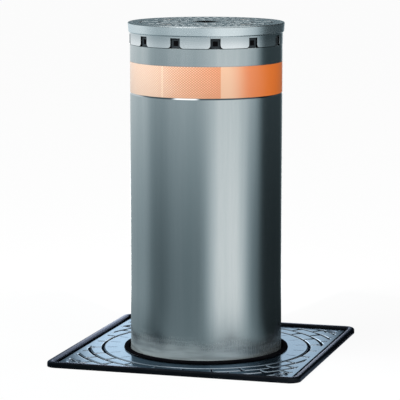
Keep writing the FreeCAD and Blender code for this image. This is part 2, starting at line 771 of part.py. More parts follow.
# Head cap: a turned disc, wider at the top, with bosses below and a shallow relief above
def head_cap():
    low_r = "cap_dia / 2 - cap_taper"
    points = [
        ("0", "0"),
        (f"{low_r} - cap_lip", "0"),
        (low_r, "cap_lip"),
        ("cap_dia / 2", "cap_thick - cap_edge"),
        ("cap_dia / 2 - cap_edge", "cap_thick"),
        ("0", "cap_thick"),
    ]
    disc = turned("cap_disc", points, CAP_Z)
    bosses = [cylinder(f"cap_boss_{number}", "head_boss_dia / 2", "crown_height", x, y, SHAFT_TOP)
              for number, (x, y) in enumerate(head_screw_places(), start=1)]
    drills = [
        turn(box_about_axis("plug_pocket", "plug_side + 2 * plug_play", "plug_thick + plug_sunk", PLUG_FOOT),
             value("plug_turn")),
        cylinder("key_hole", "key_hole_dia / 2", "cap_thick", z=CAP_Z),
    ]
    for number, (x, y) in enumerate(head_screw_places(), start=1):
        drills.append(head_screw_shape(f"cap_screw_hole_{number}", "bolt_play", x, y))
    drilled = cut("cap_drilled", fuse("cap_blank", [disc] + bosses), fuse("cap_drills", drills))
    grooved = cut("cap_grooved", drilled, cap_grooves())
    node(cut("cap_relief", grooved, cap_links()), "head_cap")


def box_about_axis(name, side, height, z):
    """A square block on the axis, extruded so that it can be turned about it."""
    return prism(name, 4, f"({side}) / sqrt(2)", height, z=z)


def cap_grooves():
    level = "head_height - cap_groove_deep"
    rings = []
    for number in range(CAP_ROWS):
        inner = f"cap_groove_first + {number} * cap_groove_pitch"
        outer = f"{inner} + cap_groove_wide"
        rings.append(ring(f"cap_groove_{number}", inner, outer, "cap_groove_deep", level))
    return group("cap_groove_rings", rings)


def cap_links():
    level = "head_height - cap_groove_deep"
    bars = []
    for number in range(CAP_ROWS - 1):
        inner = f"cap_groove_first + {number} * cap_groove_pitch + cap_groove_wide / 2"
        stagger = CAP_LINK_STEP / 2 * (CAP_ROWS - number % 2)
        for step in range(round(360 / CAP_LINK_STEP)):
            bars.append(spoke(f"cap_link_{number}_{step}", inner, f"{inner} + cap_groove_pitch",
                              "cap_groove_wide", "cap_groove_deep", level,
                              value("screw_turn") + step * CAP_LINK_STEP + stagger))
    return group("cap_link_bars", bars)


def head_screw_shape(name, play, x, y):
    """A countersunk screw, or its hole with some play."""
    shank_r = f"head_screw_dia / 2 + {play}"
    sink = "head_screw_dia / 2"
    shank_foot = f"{SHAFT_TOP} - head_screw_reach"
    shank = cylinder(f"{name}_shank", shank_r, f"head_height - ({shank_foot})", x, y, shank_foot)
    head = cone(f"{name}_sink", shank_r, f"{shank_r} + {sink}", sink, x, y, f"head_height - {sink}")
    return fuse(name, [shank, head])


def head_screws():
    screws = [head_screw_shape(f"head_screw_{number}", "0", x, y)
              for number, (x, y) in enumerate(head_screw_places(), start=1)]
    node(group("head_screw_set", screws), "head_screws")


# Square plug over the release spindle
def release_plug():
    plug = box_about_axis("plug_block", "plug_side", "plug_thick", PLUG_FOOT)
    node(turn(plug, value("plug_turn")), "release_plug")


# Release spindle in the rod's end, turned with a three-sided key
def release_spindle():
    shank = cylinder("spindle_shank", "spindle_dia / 2", "spindle_deep", z=f"{ROD_TOP} - spindle_deep")
    collar = cylinder("spindle_collar_disc", "spindle_collar_dia / 2", "spindle_collar", z=ROD_TOP)
    head = prism("spindle_key", 3, "spindle_head_dia / 2", "spindle_head", z=f"{ROD_TOP} + spindle_collar")
    node(fuse("spindle", [shank, collar, head]), "release_spindle")


# Ram: rod, nut, piston and its seals, which move with the shaft
def ram_rod():
    rod = cylinder("rod_bar", "rod_dia / 2", f"{PLATE_UNDER} - {PISTON_TOP}", z=PISTON_TOP)
    neck = cylinder("rod_neck_bar", "rod_neck_dia / 2", "rod_neck", z=PLATE_UNDER)
    bore = cylinder("rod_bore", "spindle_dia / 2 + rod_play", "spindle_deep + bolt_play",
                    z=f"{ROD_TOP} - spindle_deep - bolt_play")
    node(cut("rod", fuse("rod_blank", [rod, neck]), bore), "ram_rod")
    nut = prism("rod_nut_blank", 6, "rod_nut_width / 2", "rod_nut", z=SHAFT_TOP)
    hole = cylinder("rod_nut_hole", "rod_neck_dia / 2", "rod_nut", z=SHAFT_TOP)
    node(cut("rod_nut_solid", nut, hole), "rod_nut")


def piston():
    piston_r = "piston_dia / 2"
    groove_r = "piston_dia / 2 - piston_groove_deep"
    land = "(piston_height - 2 * piston_groove) / 3"
    points = [
        ("0", "0"),
        (piston_r, "0"),
        (piston_r, land),
        (groove_r, land),
        (groove_r, f"{land} + piston_groove"),
        (piston_r, f"{land} + piston_groove"),
        (piston_r, f"2 * {land} + piston_groove"),
        (groove_r, f"2 * {land} + piston_groove"),
        (groove_r, f"2 * {land} + 2 * piston_groove"),
        (piston_r, f"2 * {land} + 2 * piston_groove"),
        (piston_r, "piston_height"),
        ("0", "piston_height"),
    ]
    node(turned("piston", points, PISTON_FOOT), "piston")
    seals = [ring(f"piston_seal_{number}", groove_r, piston_r, "piston_groove",
                  f"{PISTON_FOOT} + {number} * {land} + {number - 1} * piston_groove") for number in (1, 2)]
    node(group("piston_seal_set", seals), "piston_seals")


# Ram: barrel, gland, wiper, foot and bolts, which stay
def ram_barrel():
    node(ring("ram_barrel", "barrel_bore / 2", BARREL_R, "barrel_height", BARREL_FOOT), "ram_barrel")
    rod_hole = "rod_dia / 2 + rod_play"
    gland_r = f"{BARREL_R} + gland_wall"
    points = [
        (BARREL_R, "0"),
        (gland_r, "0"),
        (gland_r, "gland_skirt + gland_cap"),
        (rod_hole, "gland_skirt + gland_cap"),
        (rod_hole, "gland_skirt"),
        (BARREL_R, "gland_skirt"),
    ]
    node(turned("ram_gland", points, f"{BARREL_TOP} - gland_skirt"), "ram_gland")
    node(ring("rod_wiper", rod_hole, f"{rod_hole} + rod_wiper_wall", "rod_wiper_thick",
              f"{BARREL_TOP} + gland_cap"), "rod_wiper")
    block = box("ram_foot_block", "ram_foot_wide", "ram_foot_long", "ram_foot_thick", z=BASE_TOP)
    places = [(f"{sx} * (ram_foot_wide / 2 - foot_bolt_inset - foot_bolt_dia / 2)",
               f"{sy} * (ram_foot_long / 2 - foot_bolt_inset - foot_bolt_dia / 2)") for sx, sy in CORNERS]
    holes = [cylinder(f"foot_bolt_hole_{number}", "foot_bolt_dia / 2 + bolt_play", "ram_foot_thick", x, y,
                      BASE_TOP) for number, (x, y) in enumerate(places, start=1)]
    node(cut("ram_foot_solid", block, group("ram_foot_drills", holes)), "ram_foot")
    bolts = []
    for number, (x, y) in enumerate(places, start=1):
        head = prism(f"foot_bolt_head_{number}", 6, f"foot_bolt_dia * {BOLT_HEAD_R}",
                     f"foot_bolt_dia * {BOLT_HEAD_HEIGHT}", x, y, BARREL_FOOT)
        shank = cylinder(f"foot_bolt_shank_{number}", "foot_bolt_dia / 2", "ram_foot_thick", x, y, BASE_TOP)
        bolts.append(fuse(f"foot_bolt_{number}", [head, shank]))
    node(group("foot_bolt_set", bolts), "ram_foot_bolts")


# Pump set on the base plate, inside the shaft's tube: pump, motor, tank, valve block and pipe
def pump_set():
    west = "0 - pump_out"
    node(cylinder("pump_body", "pump_dia / 2", "pump_height", west, z=BASE_TOP), "pump_body")
    motor_foot = f"{BASE_TOP} + pump_height"
    can = cylinder("motor_can", "motor_dia / 2", "motor_height", west, z=motor_foot)
    bell = cone("motor_bell_cone", "motor_dia / 2", "motor_dia / 2 - motor_bell / 2", "motor_bell", west,
                z=f"{motor_foot} + motor_height")
    node(fuse("motor", [can, bell]), "pump_motor")
    node(cylinder("oil_tank", "tank_dia / 2", "tank_height", "pump_out", z=BASE_TOP), "oil_tank")
    tank_top = f"{BASE_TOP} + tank_height"
    node(cylinder("tank_cap", "tank_cap_dia / 2", "tank_cap_height", "pump_out", z=tank_top), "tank_cap")
    valve_y = "0 - ram_foot_long / 2 - valve_deep / 2"
    node(box("valve_block", "valve_wide", "valve_deep", "valve_height", y=valve_y, z=BASE_TOP), "valve_block")
    pressure_pipe(valve_y)


def pressure_pipe(valve_y):
    """From the pump's side towards the valve block's side, with one round bend."""
    level = f"{BASE_TOP} + oil_pipe_height"
    pump_side = "0 - pump_dia / 2"
    first = cylinder("oil_pipe_first", "oil_pipe_dia / 2", f"{pump_side} - ({valve_y}) - oil_pipe_bend",
                     "0 - pump_out", pump_side, level)
    turn(first, 90, (1, 0, 0))
    second = cylinder("oil_pipe_second", "oil_pipe_dia / 2", "pump_out - valve_wide / 2 - oil_pipe_bend",
                      "oil_pipe_bend - pump_out", valve_y, level)
    turn(second, 90, (0, 1, 0))
    bend = add("Part::Torus", "oil_pipe_elbow")
    bind(bend, "Radius1", "oil_pipe_bend")
    bind(bend, "Radius2", "oil_pipe_dia / 2")
    bend.Angle3 = 90
    turn(bend, 180)
    place(bend, "oil_pipe_bend - pump_out", f"{valve_y} + oil_pipe_bend", level)
    node(fuse("oil_pipe", [first, bend, second]), "pressure_pipe")


# Magnet on the foot ring, and the two switches on their bar
def limit_switches():
    magnet_face = f"{FOOT_R} + magnet_thick"
    node(box("sensor_magnet", "magnet_wide", "magnet_thick", "foot_thick", y=f"{FOOT_R} + magnet_thick / 2",
             z=SHAFT_FOOT), "sensor_magnet")
    switch_y = f"{magnet_face} + switch_gap + switch_thick / 2"
    bar_y = f"{magnet_face} + switch_gap + switch_thick + switch_bar_thick / 2"
    node(box("switch_bar", "switch_bar_wide", "switch_bar_thick", f"{FLANGE_UNDER} - {BASE_TOP}", y=bar_y,
             z=BASE_TOP), "switch_bar")
    middle = f"{SHAFT_FOOT} + foot_thick / 2 - switch_height / 2"
    switches = [box(f"switch_{name}", "switch_wide", "switch_thick", "switch_height", y=switch_y, z=level)
                for name, level in (("up", middle), ("down", f"{middle} - stroke"))]
    node(group("switch_set", switches), "limit_switches")


# The pieces that stay in the ground
pit_casing()
pipe_stubs()
frame()
cover_plate()
cover_screws()
bore_rings()
guide_flange()
flange_bolts()
shaft_guides()
columns()
base_plate()
ram_barrel()
pump_set()

# The pieces that rise
foot_ring()
shaft_tube()
top_plate()
lamp_crown()
lamp_ring()
head_cap()
head_screws()
release_plug()
ram_rod()
piston()
limit_switches()
release_spindle()

# Check every object, then write one file for each piece
doc.recompute()
failed = [item.Name for item in doc.Objects if "Invalid" in item.State or "Error" in item.State]
if failed:
    raise RuntimeError(f"objects that failed: {failed}")
for piece in nodes:
    if piece.Shape.isNull() or not piece.Shape.isValid() or not piece.Shape.Solids:
        raise RuntimeError(f"bad shape: {piece.Label}")
os.makedirs("parts", exist_ok=True)
for piece in nodes:
    piece.Shape.exportStep(f"parts/{piece.Label}.step")
    print(f"{piece.Label}: {len(piece.Shape.Solids)} solids, {piece.Shape.Volume / 1000:.1f} cm3")
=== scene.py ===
import json
import math

import bpy
from mathutils import Matrix, Vector


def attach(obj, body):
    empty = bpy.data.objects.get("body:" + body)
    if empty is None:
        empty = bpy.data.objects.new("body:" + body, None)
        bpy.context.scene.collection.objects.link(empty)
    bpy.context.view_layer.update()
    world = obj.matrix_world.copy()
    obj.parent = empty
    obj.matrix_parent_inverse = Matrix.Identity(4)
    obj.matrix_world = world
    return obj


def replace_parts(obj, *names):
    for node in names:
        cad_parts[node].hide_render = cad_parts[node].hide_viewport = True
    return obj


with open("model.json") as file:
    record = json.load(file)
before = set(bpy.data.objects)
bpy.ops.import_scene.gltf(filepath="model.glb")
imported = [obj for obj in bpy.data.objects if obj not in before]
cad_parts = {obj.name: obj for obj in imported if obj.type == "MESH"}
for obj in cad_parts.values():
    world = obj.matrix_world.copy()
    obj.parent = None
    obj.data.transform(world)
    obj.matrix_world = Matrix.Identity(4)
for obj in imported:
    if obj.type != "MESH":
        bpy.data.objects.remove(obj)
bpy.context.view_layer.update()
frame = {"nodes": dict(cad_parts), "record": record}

MM = 0.001

# Camera, fitted to the photograph
CAMERA_AZIMUTH = math.radians(16.267)
CAMERA_YAW = math.radians(-0.161)
CAMERA_PITCH = math.radians(8.348)
CAMERA_DISTANCE = 3.9797
CAMERA_HEIGHT = 0.8599
CAMERA_LENS = 199.10

# Sizes in millimetres, as in the CAD
SHAFT_R = 137.5
SHAFT_TOP = 561
SHAFT_FOOT = -180
SHAFT_WALL = 10
SHAFT_EDGE = 0.8
BAND_TOP = 529.5
BAND_FOOT = 474.5
BAND_SEAT_R = 136.5
BAND_R = 137.3
BAND_CHAMFER = 3
BAND_CLEAR = 0.6
BAND_LEAD = 0.3
CROWN_R = 138
CROWN_IN_R = 129
CROWN_TOP = 582
CROWN_HOOP = 3
LAMP_COUNT = 12
LAMP_TURN = 23
LAMP_SLOT = 18
LAMP_RING_IN_R = 116
LAMP_RING_R = 128.8
LAMP_RING_TOP = CROWN_TOP - 3.2
LAMP_FACE_R = CROWN_IN_R + 5.5
LAMP_BACK_R = CROWN_IN_R - 6
LAMP_MIDDLE = SHAFT_TOP + 8.75
RECESS_HALF = 4.5
RECESS_DEEP = 3
LENS_HALF = 4.4
LENS_THICK = 2
TAB_ROUND = 6
TAB_FOOT = SHAFT_TOP + 0.3
CAP_TOP = 600
CAP_R = 141.2
PLUG_SIDE = 40
PLUG_TOP = 599.8
PLUG_THICK = 8
PLUG_WALL = 1.2
PLUG_FLOOR = 2
PLUG_TURN = 61
SCREW_TURN = 61
SCREW_RING_R = 100
CAP_SCREW_R = 12
CAP_SCREW_FOOT = 594
CAP_SHANK_R = 6
CAP_SHANK_END = 551
CAP_SOCKET_DEEP = 4
SHANK_CORE_R = 0.5
SCREW_CHAMFER = 0.8
FRAME_HALF = 231
FRAME_CORNER = 20
FRAME_FOOT = -40
RIM_TOP = 10
RIM_WIDTH = 12
RIM_ROUND = 4.5
LEDGE_TOP = -30
LEDGE_WIDTH = 39
COVER_HALF = 213.5
COVER_CORNER = 8
COVER_TOP = 5
COVER_THICK = 10
COVER_FOOT = -18
BORE_R = 143.5
LIP_IN_R = 141.5
LIP_OUT_R = 149.5
LIP_THICK = 3.5
BORE_RING_WIDTH = 6.5
BORE_RING_THICK = 4
BORE_RING_GAP = 0.3
COVER_ROUND = 1.2
GROOVE_FIRST = 189.25
GROOVE_PITCH = 25
GROOVE_MARGIN = 9
GROOVE_ROWS = 5
LINK_STEP = 15
LINK_START = 4
COVER_SCREW_OUT = 190
COVER_SCREW_R = 8
COVER_SCREW_FOOT = COVER_TOP - 11
COVER_SCREW_TOP = COVER_TOP - 1
COVER_SHANK_R = 5
COVER_SHANK_END = -30
COVER_SOCKET_DEEP = 5
SOCKET_HALF = 4

# Steps round the axis
ROUND_STEPS = 256
COVER_COLUMNS = 960
CAP_COLUMNS = 720

# Marks on the film, in millimetres along it from its start, and its tones; its paler tones towards one side
# are painted sheen
FILM_CELL = 5.4
FILM_SLANT = 1.25
# Where along the film the painted sheen is least, and over how far it grows to its full share
FILM_SHEEN_LEAST = -25
FILM_SHEEN_SPAN = 290
FILM_PANEL = 711.5
FILM_SEAM = 604
FILM_ORANGE = (1.0, 0.22, 0.030)
# Tones of the painted sheen and of its palest part
FILM_SHEEN_TONE = (0.90, 0.72, 0.56)
FILM_SHEEN_PEAK_TONE = (0.95, 0.78, 0.65)
FILM_PANEL_TONE = (0.90, 0.66, 0.45)
FILM_LINE_TONE = (0.58, 0.18, 0.045)
FILM_SEAM_TONE = (0.95, 0.74, 0.56)

# Tones of the brushed steel, its streaks and its scuffed foot; of the silver tabs, from painted shade at the
# top to a painted highlight at the lower edge; and painted shade in their slots
STEEL_TONES = ((0.54, 0.60, 0.61), (0.59, 0.64, 0.65))
STREAK_TONE = (0.44, 0.49, 0.50)
SCUFF_TONES = ((0.68, 0.78, 0.79), (0.50, 0.59, 0.60))
TAB_SHADE_TO_HIGHLIGHT = ((0.60, 0.66, 0.68), (0.94, 0.97, 0.98))
SLOT_SHADE = (0.02, 0.024, 0.027)

# Brush marks and smears: how far they are drawn out, and their scale in marks a metre
STREAK_STRETCH = 0.02
STREAK_SCALES = (60.0, 900.0)
SMEAR_STRETCH = 0.1
SMEAR_SCALE = 140.0
TAB_STRETCH = 0.03
TAB_SCALE = 1500.0

# Scuffed foot of the shaft: its height, how uneven its edge is, and where round the shaft it is least
SCUFF_TOP = 66
SCUFF_SPREAD = 7
SCUFF_LEAST = 24
# How far from there it grows, and its least and greatest share
SCUFF_SPAN = (60, 220)
SCUFF_SHARES = (0.35, 1.0)


# Meshes

def mesh_piece(name, points, faces, body, slot, material, sharp=40):
    """A smooth-shaded piece from points in millimetres, riding on a body."""
    mesh = bpy.data.meshes.new(name)
    mesh.from_pydata([(x * MM, y * MM, z * MM) for x, y, z in points], [], faces)
    mesh.validate()
    mesh.shade_smooth()
    mesh.set_sharp_from_angle(angle=math.radians(sharp))
    mesh.materials.append(material)
    piece = bpy.data.objects.new(name, mesh)
    bpy.context.scene.collection.objects.link(piece)
    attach(piece, body)
    return piece


def bevel(piece, width, segments=2, angle=35):
    """Rounds the edges sharper than an angle."""
    modifier = piece.modifiers.new("edges", "BEVEL")
    modifier.width = width * MM
    modifier.segments = segments
    modifier.limit_method = "ANGLE"
    modifier.angle_limit = math.radians(angle)
    modifier.harden_normals = False
    return piece


def swept_faces(stations, count):
    """Faces of a closed outline of so many points, swept through stations and back to the first."""
    faces = []
    for step in range(stations):
        here = step * count
        there = (step + 1) % stations * count
        for number in range(count):
            after = (number + 1) % count
            faces.append((here + number, there + number, there + after, here + after))
    return faces


def stacked_faces(rings, sides):
    """Faces between stacked rings of so many points, open at both ends."""
    faces = []
    for ring in range(rings - 1):
        here = ring * sides
        for number in range(sides):
            after = (number + 1) % sides
            faces.append((here + number, here + after, here + sides + after, here + sides + number))
    return faces


def turned(profile, segments):
    """Points and faces of an outline of (radius, height) turned about the axis."""
    points = []
    for step in range(segments):
        angle = 2 * math.pi * step / segments
        cos, sin = math.cos(angle), math.sin(angle)
        points += [(radius * cos, radius * sin, height) for radius, height in profile]
    return points, swept_faces(segments, len(profile))


def polygon_block(outline, foot, top):
    """A straight block over a closed outline of (x, y) points."""
    count = len(outline)
    points = [(x, y, foot) for x, y in outline] + [(x, y, top) for x, y in outline]
    faces = [tuple(reversed(range(count))), tuple(range(count, 2 * count))]
    return points, faces + stacked_faces(2, count)


def joined(parts):
    """One mesh from several lists of points and faces."""
    points = []
    faces = []
    for part_points, part_faces in parts:
        start = len(points)
        points += part_points
        faces += [tuple(start + corner for corner in face) for face in part_faces]
    return points, faces


def moved(part, x=0, y=0, turn=0):
    """A part turned about the axis in degrees, then shifted."""
    points, faces = part
    cos, sin = math.cos(math.radians(turn)), math.sin(math.radians(turn))
    return [(px * cos - py * sin + x, px * sin + py * cos + y, pz) for px, py, pz in points], faces


def set_attribute(piece, name, values):
    """A number for each point, which a material reads."""
    layer = piece.data.attributes.new(name, "FLOAT", "POINT")
    layer.data.foreach_set("value", values)


def smooth_step(low, high, x):
    """Nothing below one value, one above another, and smooth between them."""
    share = min(1.0, max(0.0, (x - low) / (high - low)))
    return share * share * (3 - 2 * share)


# Material nodes

def new_material(name):
    material = bpy.data.materials.new(name)
    material.use_nodes = True
    return material, material.node_tree, material.node_tree.nodes["Principled BSDF"]


def add_node(tree, kind, values=None, **settings):
    """A node with some settings; values fill or feed its inputs by name or number."""
    made = tree.nodes.new(kind)
    for key, setting in settings.items():
        setattr(made, key, setting)
    for key, entry in (values or {}).items():
        if isinstance(entry, bpy.types.NodeSocket):
            tree.links.new(entry, made.inputs[key])
        else:
            made.inputs[key].default_value = entry
    return made


def math_node(tree, operation, first, second=0.0):
    return add_node(tree, "ShaderNodeMath", {0: first, 1: second}, operation=operation).outputs[0]


def ramp(tree, factor, low, high, to_low, to_high):
    """Maps a number from one range to another, clamped and smooth."""
    made = add_node(tree, "ShaderNodeMapRange", {"Value": factor, 1: low, 2: high, 3: to_low, 4: to_high},
                    interpolation_type="SMOOTHSTEP")
    return made.outputs["Result"]


def spread(tree, factor, to_low, to_high):
    """Maps the usual range of a noise to another range."""
    return ramp(tree, factor, 0.3, 0.7, to_low, to_high)


def noise(tree, vector, scale, detail=4.0, rough=0.55):
    made = add_node(tree, "ShaderNodeTexNoise", {"Vector": vector, "Scale": scale, "Detail": detail,
                                                 "Roughness": rough})
    return made.outputs["Fac"]


def mix_colour(tree, factor, first, second):
    """A blend of two colours; sockets 6 and 7 are the node's colour inputs and 2 its colour output."""
    values = {"Factor": factor, 6: first, 7: second}
    return add_node(tree, "ShaderNodeMix", values, data_type="RGBA").outputs[2]


def rgba(colour):
    return (*colour, 1.0)


def object_place(tree):
    return add_node(tree, "ShaderNodeTexCoord").outputs["Object"]


def bump(tree, bsdf, height, strength, distance):
    made = add_node(tree, "ShaderNodeBump", {"Height": height, "Strength": strength, "Distance": distance})
    tree.links.new(made.outputs["Normal"], bsdf.inputs["Normal"])


def finish_material(name, colour, second, metallic, roughness, scale, grain, depth, shine=0.5,
                    glance=(1.0, 1.0, 1.0)):
    """A finish with cloudy colour, uneven roughness and a fine grain."""
    material, tree, bsdf = new_material(name)
    place = object_place(tree)
    cloud = noise(tree, place, scale)
    fine = noise(tree, place, grain, 3.0)
    colours = mix_colour(tree, spread(tree, cloud, 0.0, 1.0), rgba(colour), rgba(second))
    tree.links.new(colours, bsdf.inputs["Base Color"])
    tree.links.new(ramp(tree, fine, 0.25, 0.75, roughness[0], roughness[1]), bsdf.inputs["Roughness"])
    bsdf.inputs["Metallic"].default_value = metallic
    bsdf.inputs["Specular IOR Level"].default_value = shine
    bsdf.inputs["Specular Tint"].default_value = rgba(glance)
    bump(tree, bsdf, fine, 0.25, depth * MM)
    return material


def around_axis(tree):
    """Arc length about the axis and height, in metres, for marks that follow the round."""
    parts = add_node(tree, "ShaderNodeSeparateXYZ", {0: object_place(tree)}).outputs
    angle = math_node(tree, "ARCTAN2", parts["Y"], parts["X"])
    return math_node(tree, "MULTIPLY", angle, SHAFT_R * MM), parts["Z"]


# Brushed stainless steel with fine upright streaks, and a foot scuffed in level smears
def stainless():
    material, tree, bsdf = new_material("brushed_stainless_look")
    along, height = around_axis(tree)
    squeezed = math_node(tree, "MULTIPLY", height, STREAK_STRETCH)
    place = add_node(tree, "ShaderNodeCombineXYZ", {0: along, 1: squeezed}).outputs[0]
    wide = noise(tree, place, STREAK_SCALES[0], 5.0)
    fine = noise(tree, place, STREAK_SCALES[1], 4.0, 0.7)
    tint = mix_colour(tree, spread(tree, wide, 0.0, 1.0), rgba(STEEL_TONES[0]), rgba(STEEL_TONES[1]))
    streaked = mix_colour(tree, ramp(tree, fine, 0.35, 0.75, 0.0, 0.12), tint, rgba(STREAK_TONE))
    drawn = math_node(tree, "MULTIPLY", along, SMEAR_STRETCH)
    level = add_node(tree, "ShaderNodeCombineXYZ", {0: drawn, 1: height}).outputs[0]
    rubbed = noise(tree, level, SMEAR_SCALE, 2.0)
    uneven = noise(tree, add_node(tree, "ShaderNodeCombineXYZ", {0: along}).outputs[0], 14.0, 1.0)
    edge = math_node(tree, "ADD", height, spread(tree, uneven, -SCUFF_SPREAD * MM, SCUFF_SPREAD * MM))
    away = math_node(tree, "SUBTRACT", along, SCUFF_LEAST * MM)
    away = math_node(tree, "PINGPONG", away, math.pi * SHAFT_R * MM)
    wear_and_sheen = ramp(tree, away, SCUFF_SPAN[0] * MM, SCUFF_SPAN[1] * MM, SCUFF_SHARES[0], SCUFF_SHARES[1])
    wear_and_sheen = math_node(tree, "MULTIPLY", wear_and_sheen, ramp(tree, rubbed, 0.38, 0.62, 1.0, 0.8))
    scuff = math_node(tree, "MULTIPLY", wear_and_sheen, ramp(tree, edge, 0.0, SCUFF_TOP * MM, 1.0, 0.0))
    smears = ramp(tree, rubbed, 0.4, 0.7, 0.0, 1.0)
    dull = mix_colour(tree, smears, rgba(SCUFF_TONES[0]), rgba(SCUFF_TONES[1]))
    tree.links.new(mix_colour(tree, scuff, streaked, dull), bsdf.inputs["Base Color"])
    smooth = spread(tree, fine, 0.17, 0.24)
    tree.links.new(math_node(tree, "ADD", smooth, math_node(tree, "MULTIPLY", scuff, 0.2)),
                   bsdf.inputs["Roughness"])
    tree.links.new(ramp(tree, scuff, 0.0, 1.0, 1.0, 0.55), bsdf.inputs["Metallic"])
    bump(tree, bsdf, fine, 0.05, 0.03 * MM)
    return material


# Orange reflective film: a diamond hatch, paler towards one side with painted sheen, with a plain panel and a
# butt seam
def reflective_film():
    material, tree, bsdf = new_material("orange_reflective_look")
    film = add_node(tree, "ShaderNodeUVMap", uv_map="film").outputs["UV"]
    parts = add_node(tree, "ShaderNodeSeparateXYZ", {0: film}).outputs
    along, up = parts["X"], parts["Y"]
    lines = []
    for operation in ("ADD", "SUBTRACT"):
        slant = math_node(tree, operation, along, math_node(tree, "MULTIPLY", up, FILM_SLANT))
        lines.append(math_node(tree, "PINGPONG", slant, FILM_CELL / 2))
    hatch = ramp(tree, math_node(tree, "MINIMUM", lines[0], lines[1]), 0.2, 1.5, 1.0, 0.0)
    cloud = noise(tree, object_place(tree), 18.0)
    # Painted sheen: the film grows paler with its distance along from one point, standing in for light on
    # that side
    wear_and_sheen = math_node(tree, "PINGPONG", math_node(tree, "SUBTRACT", along, FILM_SHEEN_LEAST), math.pi * BAND_R)
    wear_and_sheen = math_node(tree, "ADD", wear_and_sheen, spread(tree, cloud, -6.0, 6.0))
    painted_sheen = ramp(tree, wear_and_sheen, 0.0, FILM_SHEEN_SPAN, 0.0, 1.0)
    colour = mix_colour(tree, painted_sheen, rgba(FILM_ORANGE), rgba(FILM_SHEEN_TONE))
    panel_start = ramp(tree, along, FILM_PANEL - 0.5, FILM_PANEL + 0.5, 0.0, 0.6)
    panel_end = ramp(tree, along, FILM_PANEL + 12, FILM_PANEL + 60, 1.0, 0.0)
    panel = math_node(tree, "MULTIPLY", panel_start, panel_end)
    colour = mix_colour(tree, panel, colour, rgba(FILM_PANEL_TONE))
    # The hatch shows more strongly where the painted sheen is, and less on the panel
    strength = math_node(tree, "SUBTRACT", ramp(tree, painted_sheen, 0.1, 0.5, 0.2, 0.85), panel)
    colour = mix_colour(tree, math_node(tree, "MULTIPLY", hatch, strength), colour, rgba(FILM_LINE_TONE))
    # The palest painted sheen, furthest from that point
    colour = mix_colour(tree, ramp(tree, painted_sheen, 0.75, 1.0, 0.0, 0.3), colour, rgba(FILM_SHEEN_PEAK_TONE))
    seam = math_node(tree, "ABSOLUTE", math_node(tree, "SUBTRACT", along, FILM_SEAM))
    seam_line = ramp(tree, seam, 0.6, 1.4, 0.75, 0.0)
    colour = mix_colour(tree, seam_line, colour, rgba(FILM_SEAM_TONE))
    tree.links.new(colour, bsdf.inputs["Base Color"])
    tree.links.new(spread(tree, cloud, 0.30, 0.40), bsdf.inputs["Roughness"])
    bsdf.inputs["Coat Weight"].default_value = 0.3
    bsdf.inputs["Coat Roughness"].default_value = 0.25
    bump(tree, bsdf, hatch, 0.2, 0.08 * MM)
    return material


# Casting with dark joints where the piece's own mask says so, partly painted shade in grooves, recesses and
# gaps, and painted shade on its upward faces
def relief_casting(name, colour, second, top_face_shade, joint, metallic, roughness, glance, depth):
    material, tree, bsdf = new_material(name)
    place = object_place(tree)
    cloud = noise(tree, place, 14.0)
    fine = noise(tree, place, 420.0, 3.0)
    mask = add_node(tree, "ShaderNodeAttribute", attribute_name="joint").outputs["Fac"]
    # Dark joints, partly painted shade in the grooves and recesses the mask marks
    joint_dark_and_shade = ramp(tree, mask, 0.2, 0.6, 0.0, 1.0)
    normal = add_node(tree, "ShaderNodeNewGeometry").outputs["Normal"]
    upright = add_node(tree, "ShaderNodeSeparateXYZ", {0: normal}).outputs["Z"]
    face = mix_colour(tree, spread(tree, cloud, 0.0, 1.0), rgba(colour), rgba(second))
    # Painted shade on faces that look upwards
    face = mix_colour(tree, ramp(tree, upright, 0.8, 0.98, 0.0, 1.0), face, rgba(top_face_shade))
    tree.links.new(mix_colour(tree, joint_dark_and_shade, face, rgba(joint)), bsdf.inputs["Base Color"])
    uneven = ramp(tree, fine, 0.25, 0.75, roughness[0], roughness[1])
    tree.links.new(math_node(tree, "ADD", uneven, math_node(tree, "MULTIPLY", joint_dark_and_shade, 0.3)),
                   bsdf.inputs["Roughness"])
    clean = math_node(tree, "SUBTRACT", 1.0, joint_dark_and_shade)
    tree.links.new(math_node(tree, "MULTIPLY", clean, metallic), bsdf.inputs["Metallic"])
    tree.links.new(ramp(tree, joint_dark_and_shade, 0.0, 1.0, 0.5, 0.0), bsdf.inputs["Specular IOR Level"])
    bsdf.inputs["Specular Tint"].default_value = rgba(glance)
    bump(tree, bsdf, fine, 0.15, depth * MM)
    return material


